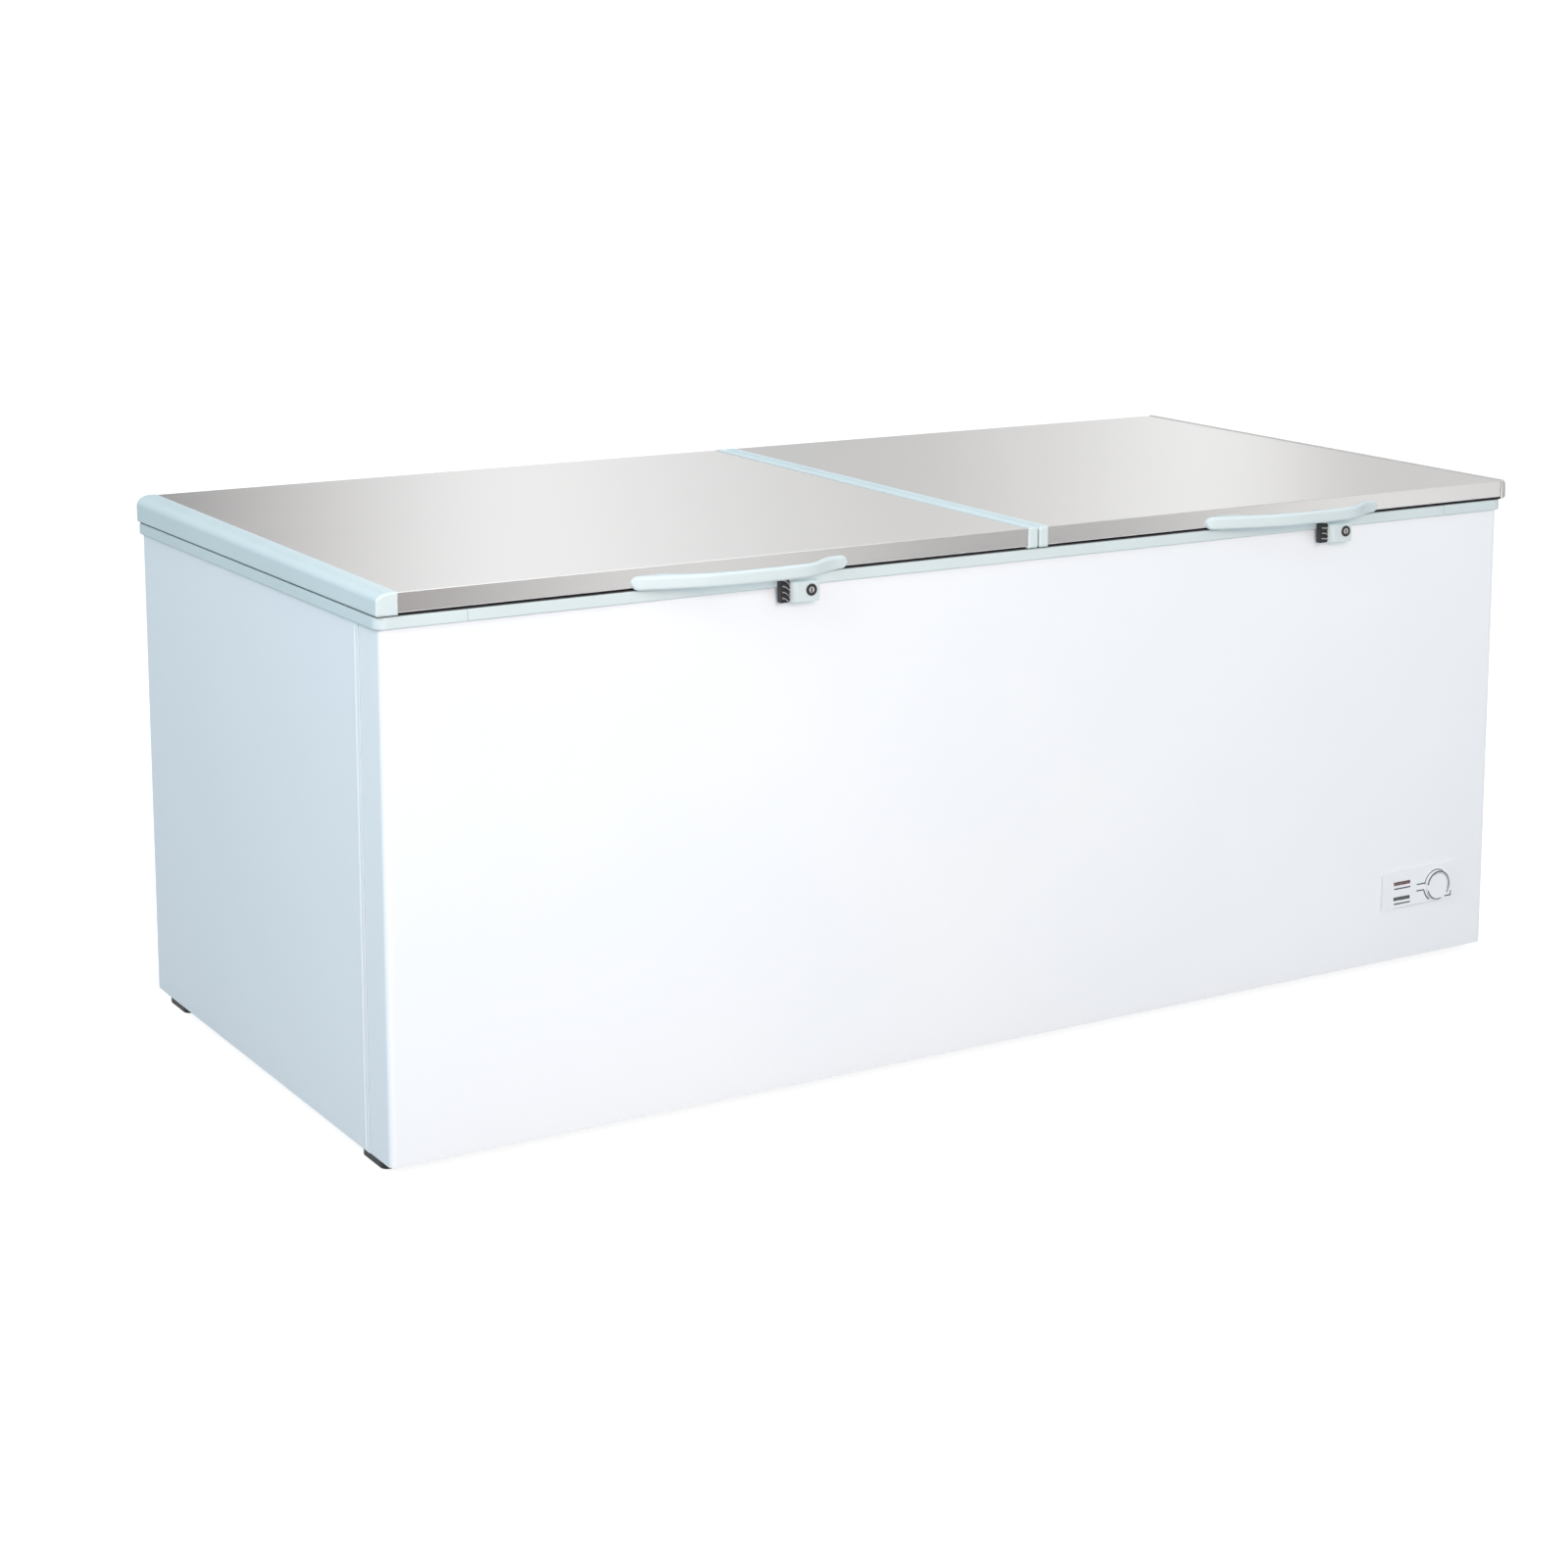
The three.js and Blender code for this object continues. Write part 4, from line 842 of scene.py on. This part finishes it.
def hinge_screws():
    """Screws through each hinge's plates, on the cabinet and on the lid."""
    for side in SIDES:
        for number in (1, 2):
            fixed, moving = bmesh.new(), bmesh.new()
            low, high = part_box(f"{side}_hinge_bracket_{number}")
            for share in (0.18, 0.82):
                for height in (12 * MM, 48 * MM):
                    place = (low.x + share * (high.x - low.x), low.y + PLATE, low.z + height)
                    screw_head(fixed, place, BRACKET_SCREW)
            new_piece(f"{side}_bracket_screws_{number}", "cabinet", "zinc_steel", fixed)
            low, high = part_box(f"{side}_hinge_arm_{number}")
            for share in (0.12, 0.88):
                place = (low.x + share * (high.x - low.x), low.y + PLATE, high.z - 9 * MM)
                screw_head(moving, place, ARM_SCREW)
            new_piece(f"{side}_arm_screws_{number}", f"{side}_lid", "zinc_steel", moving)


REAR_SCREWS = 9
REAR_SCREW_INSET = 14 * MM
REAR_SCREW_START = 30 * MM


def rear_screws():
    """A row of screws along the rear panel's edges."""
    low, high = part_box("rear_panel")
    shape = bmesh.new()
    run = high.x - low.x - 2 * REAR_SCREW_START
    for index in range(REAR_SCREWS):
        x = low.x + REAR_SCREW_START + run * index / (REAR_SCREWS - 1)
        screw_head(shape, (x, high.y, low.z + REAR_SCREW_INSET), BRACKET_SCREW)
    for side in (low.x + REAR_SCREW_INSET, high.x - REAR_SCREW_INSET):
        for height in (0.25, 0.5, 0.75):
            place = (side, high.y, low.z + height * (high.z - low.z))
            screw_head(shape, place, BRACKET_SCREW)
    new_piece("rear_screws", "cabinet", "zinc_steel", shape)


LOUVRE_ROWS = 12
LOUVRE_STARTS = (161.5 * MM, 481.5 * MM)
LOUVRE_LENGTH = 220 * MM
LOUVRE_PITCH = 16 * MM
LOUVRE_FIRST = 51 * MM
HOOD_REACH = 4.5 * MM
HOOD_HEIGHT = 7 * MM
HOOD_SHEET = 0.8 * MM
# (share of the length, share of the reach) along a hood, whose ends taper down to the panel
HOOD_TAPER = ((0.0, 0.05), (0.03, 0.8), (0.06, 1.0), (0.94, 1.0), (0.97, 0.8), (1.0, 0.05))


def louvre_hood(wall, start, base):
    """The cross-sections of one hood, from front to rear."""
    arch = arc_points((0, 0), 1, 0, 90, 5)
    rings = []
    for share, size in HOOD_TAPER:
        y = start + share * LOUVRE_LENGTH
        ring = [Vector((wall + HOOD_REACH * size * u, y, base + HOOD_HEIGHT * v)) for u, v in arch]
        reach = (HOOD_REACH - HOOD_SHEET) * size
        height = HOOD_HEIGHT - HOOD_SHEET
        ring += [Vector((wall + reach * u, y, base + height * v)) for u, v in reversed(arch)]
        rings.append(ring)
    return rings


def louvre_hoods():
    """Pressed hoods over the air slots in the right side panel."""
    low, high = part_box("right_side_panel")
    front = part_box("front_panel")[0].y
    shape = bmesh.new()
    for start in LOUVRE_STARTS:
        for row in range(LOUVRE_ROWS):
            base = low.z + LOUVRE_FIRST + row * LOUVRE_PITCH
            loft(shape, louvre_hood(high.x, front + start, base))
    new_piece("air_louvres", "cabinet", "white_paint", shape)


# ---------------------------------------------------------------- stage

FLOOR_RADIUS = 9
FLOOR_COLOUR = (0.38, 0.43, 0.47)
FLOOR_GLOW = 0.86


def make_floor():
    """A round pale floor that fades out towards its edge. It stays out of mirror-like reflections."""
    mesh = bpy.data.meshes.new("floor")
    shape = bmesh.new()
    bmesh.ops.create_circle(shape, cap_ends=True, radius=FLOOR_RADIUS, segments=96)
    shape.to_mesh(mesh)
    shape.free()
    floor = bpy.data.objects.new("floor", mesh)
    floor.visible_glossy = False
    bpy.context.scene.collection.objects.link(floor)
    s = Shader("floor")
    distance = s.add("ShaderNodeVectorMath", operation="LENGTH")
    s.link(s.place, distance.inputs[0])
    cover = s.span(distance.outputs["Value"], 1, 0, 2.2, 4.5)
    rays = s.add("ShaderNodeLightPath")
    seen = s.math("MULTIPLY", rays.outputs["Is Camera Ray"], FLOOR_GLOW)
    s.set(Base_Color=FLOOR_COLOUR, Roughness=0.9, Alpha=cover, Emission_Color=(1.0, 1.0, 1.0),
          Emission_Strength=seen)
    mesh.materials.append(s.material)


# Bearing in degrees from +Y towards +X, and brightness, of the cards that polished surfaces reflect
CARDS = (
    (-180, 0.85), (-140, 0.95), (-100, 0.75), (-60, 0.95), (-20, 0.8), (10, 0.2), (19, 0.2),
    (23, 0.74), (26, 1.14), (30, 0.92), (34, 0.7), (37, 0.8), (40.3, 1.3), (42.2, 0.7), (60, 0.9),
    (90, 0.8), (125, 0.8), (133, 0.1), (137, 2.3), (140.5, 0.5), (144, 0.0), (146.5, 0.05),
    (151, 2.3), (154.5, 0.1), (158, 0.0), (163, 0.2), (170, 0.6),
)
ROOM_COLOUR = (0.72, 0.90, 1.0)
ROOM_STRENGTH = 0.68
WHITE_STRENGTH = 1.1


class World(NodeTree):
    """The world, with short calls for the nodes used here."""

    def __init__(self, name):
        world = bpy.data.worlds.new(name)
        world.use_nodes = True
        bpy.context.scene.world = world
        super().__init__(world.node_tree)
        self.tree.nodes.clear()

    def background(self, colour, strength):
        node = self.add("ShaderNodeBackground")
        self.feed(node.inputs["Color"], colour)
        self.feed(node.inputs["Strength"], strength)
        return node.outputs[0]

    def choose(self, factor, first, second):
        node = self.add("ShaderNodeMixShader")
        for socket, value in zip(node.inputs, (factor, first, second)):
            self.link(value, socket)
        return node.outputs[0]

    def bearing(self):
        """The direction round the vertical, from 0 to 1."""
        direction = self.add("ShaderNodeTexCoord").outputs["Generated"]
        split = self.add("ShaderNodeSeparateXYZ")
        self.link(direction, split.inputs[0])
        angle = self.add("ShaderNodeMath", operation="ARCTAN2")
        self.link(split.outputs["X"], angle.inputs[0])
        self.link(split.outputs["Y"], angle.inputs[1])
        turn = self.add("ShaderNodeMapRange")
        turn.inputs["From Min"].default_value = -math.pi
        turn.inputs["From Max"].default_value = math.pi
        self.link(angle.outputs[0], turn.inputs["Value"])
        return turn.outputs["Result"]

    def card_colours(self):
        """The cards' brightness round the room. The dark ones are slightly warm."""
        ramp = self.add("ShaderNodeValToRGB")
        stops = ramp.color_ramp.elements
        while len(stops) > 1:
            stops.remove(stops[-1])
        stops[0].position = 0
        for degrees, level in CARDS:
            stop = stops[0] if degrees == -180 else stops.new((degrees + 180) / 360)
            warmth = 1 - min(level, 1)
            stop.color = (level, level * (1 - 0.065 * warmth), level * (1 - 0.095 * warmth), 1)
        self.link(self.bearing(), ramp.inputs["Fac"])
        return ramp.outputs["Color"]


def make_world():
    """Soft white surroundings. Mirror-like surfaces see gentle bright and dark cards around the room."""
    world = World("studio")
    rays = world.add("ShaderNodeLightPath").outputs
    room = world.background(ROOM_COLOUR, ROOM_STRENGTH)
    mirror = world.background(world.card_colours(), 1.0)
    white = world.background((1, 1, 1), WHITE_STRENGTH)
    unseen = world.choose(rays["Is Glossy Ray"], room, mirror)
    seen = world.choose(rays["Is Camera Ray"], unseen, white)
    output = world.add("ShaderNodeOutputWorld")
    world.link(seen, output.inputs["Surface"])




def soft_light(name, place, target, size, power, colour):
    light = bpy.data.lights.new(name, "AREA")
    light.shape = "RECTANGLE"
    light.size, light.size_y = size
    light.energy = power
    light.color = colour
    lamp = bpy.data.objects.new(name, light)
    lamp.location = place
    lamp.rotation_euler = (Vector(target) - Vector(place)).to_track_quat("-Z", "Y").to_euler()
    bpy.context.scene.collection.objects.link(lamp)


def make_lights():
    soft_light("key_light", (-1.3, -5.2, 2.2), (-0.1, -0.4, 0.4), (2.6, 2.2), 169, (1.0, 0.80, 0.71))
    soft_light("fill_light", (-2.6, -1.25, 2.2), (-1.05, -0.4, 0.7), (1.0, 1.0), 20, (0.81, 0.92, 1.0))
    soft_light("top_light", (0.0, 0.5, 4.2), (0, 0, 0.8), (4.0, 3.0), 50, (0.9, 0.95, 1.0))


# ---------------------------------------------------------------- assembly

make_camera()
make_world()
make_lights()
make_floor()
finish_cad_nodes()
for lid_side in SIDES:
    lid_sheet(lid_side)
    grip(lid_side)
    cap_ribs(lid_side)
    door_seal(lid_side)
    gap_shade_seal_flange(lid_side)
    strike_ribs(lid_side)
    key_ring(lid_side)
    key_slot(lid_side)
panel_marks()
painted_panel_edge_shadows()
dial()
dial_dark_arcs()
seam_beads()
hinge_screws()
rear_screws()
louvre_hoods()
bpy.context.scene.view_settings.view_transform = "Standard"
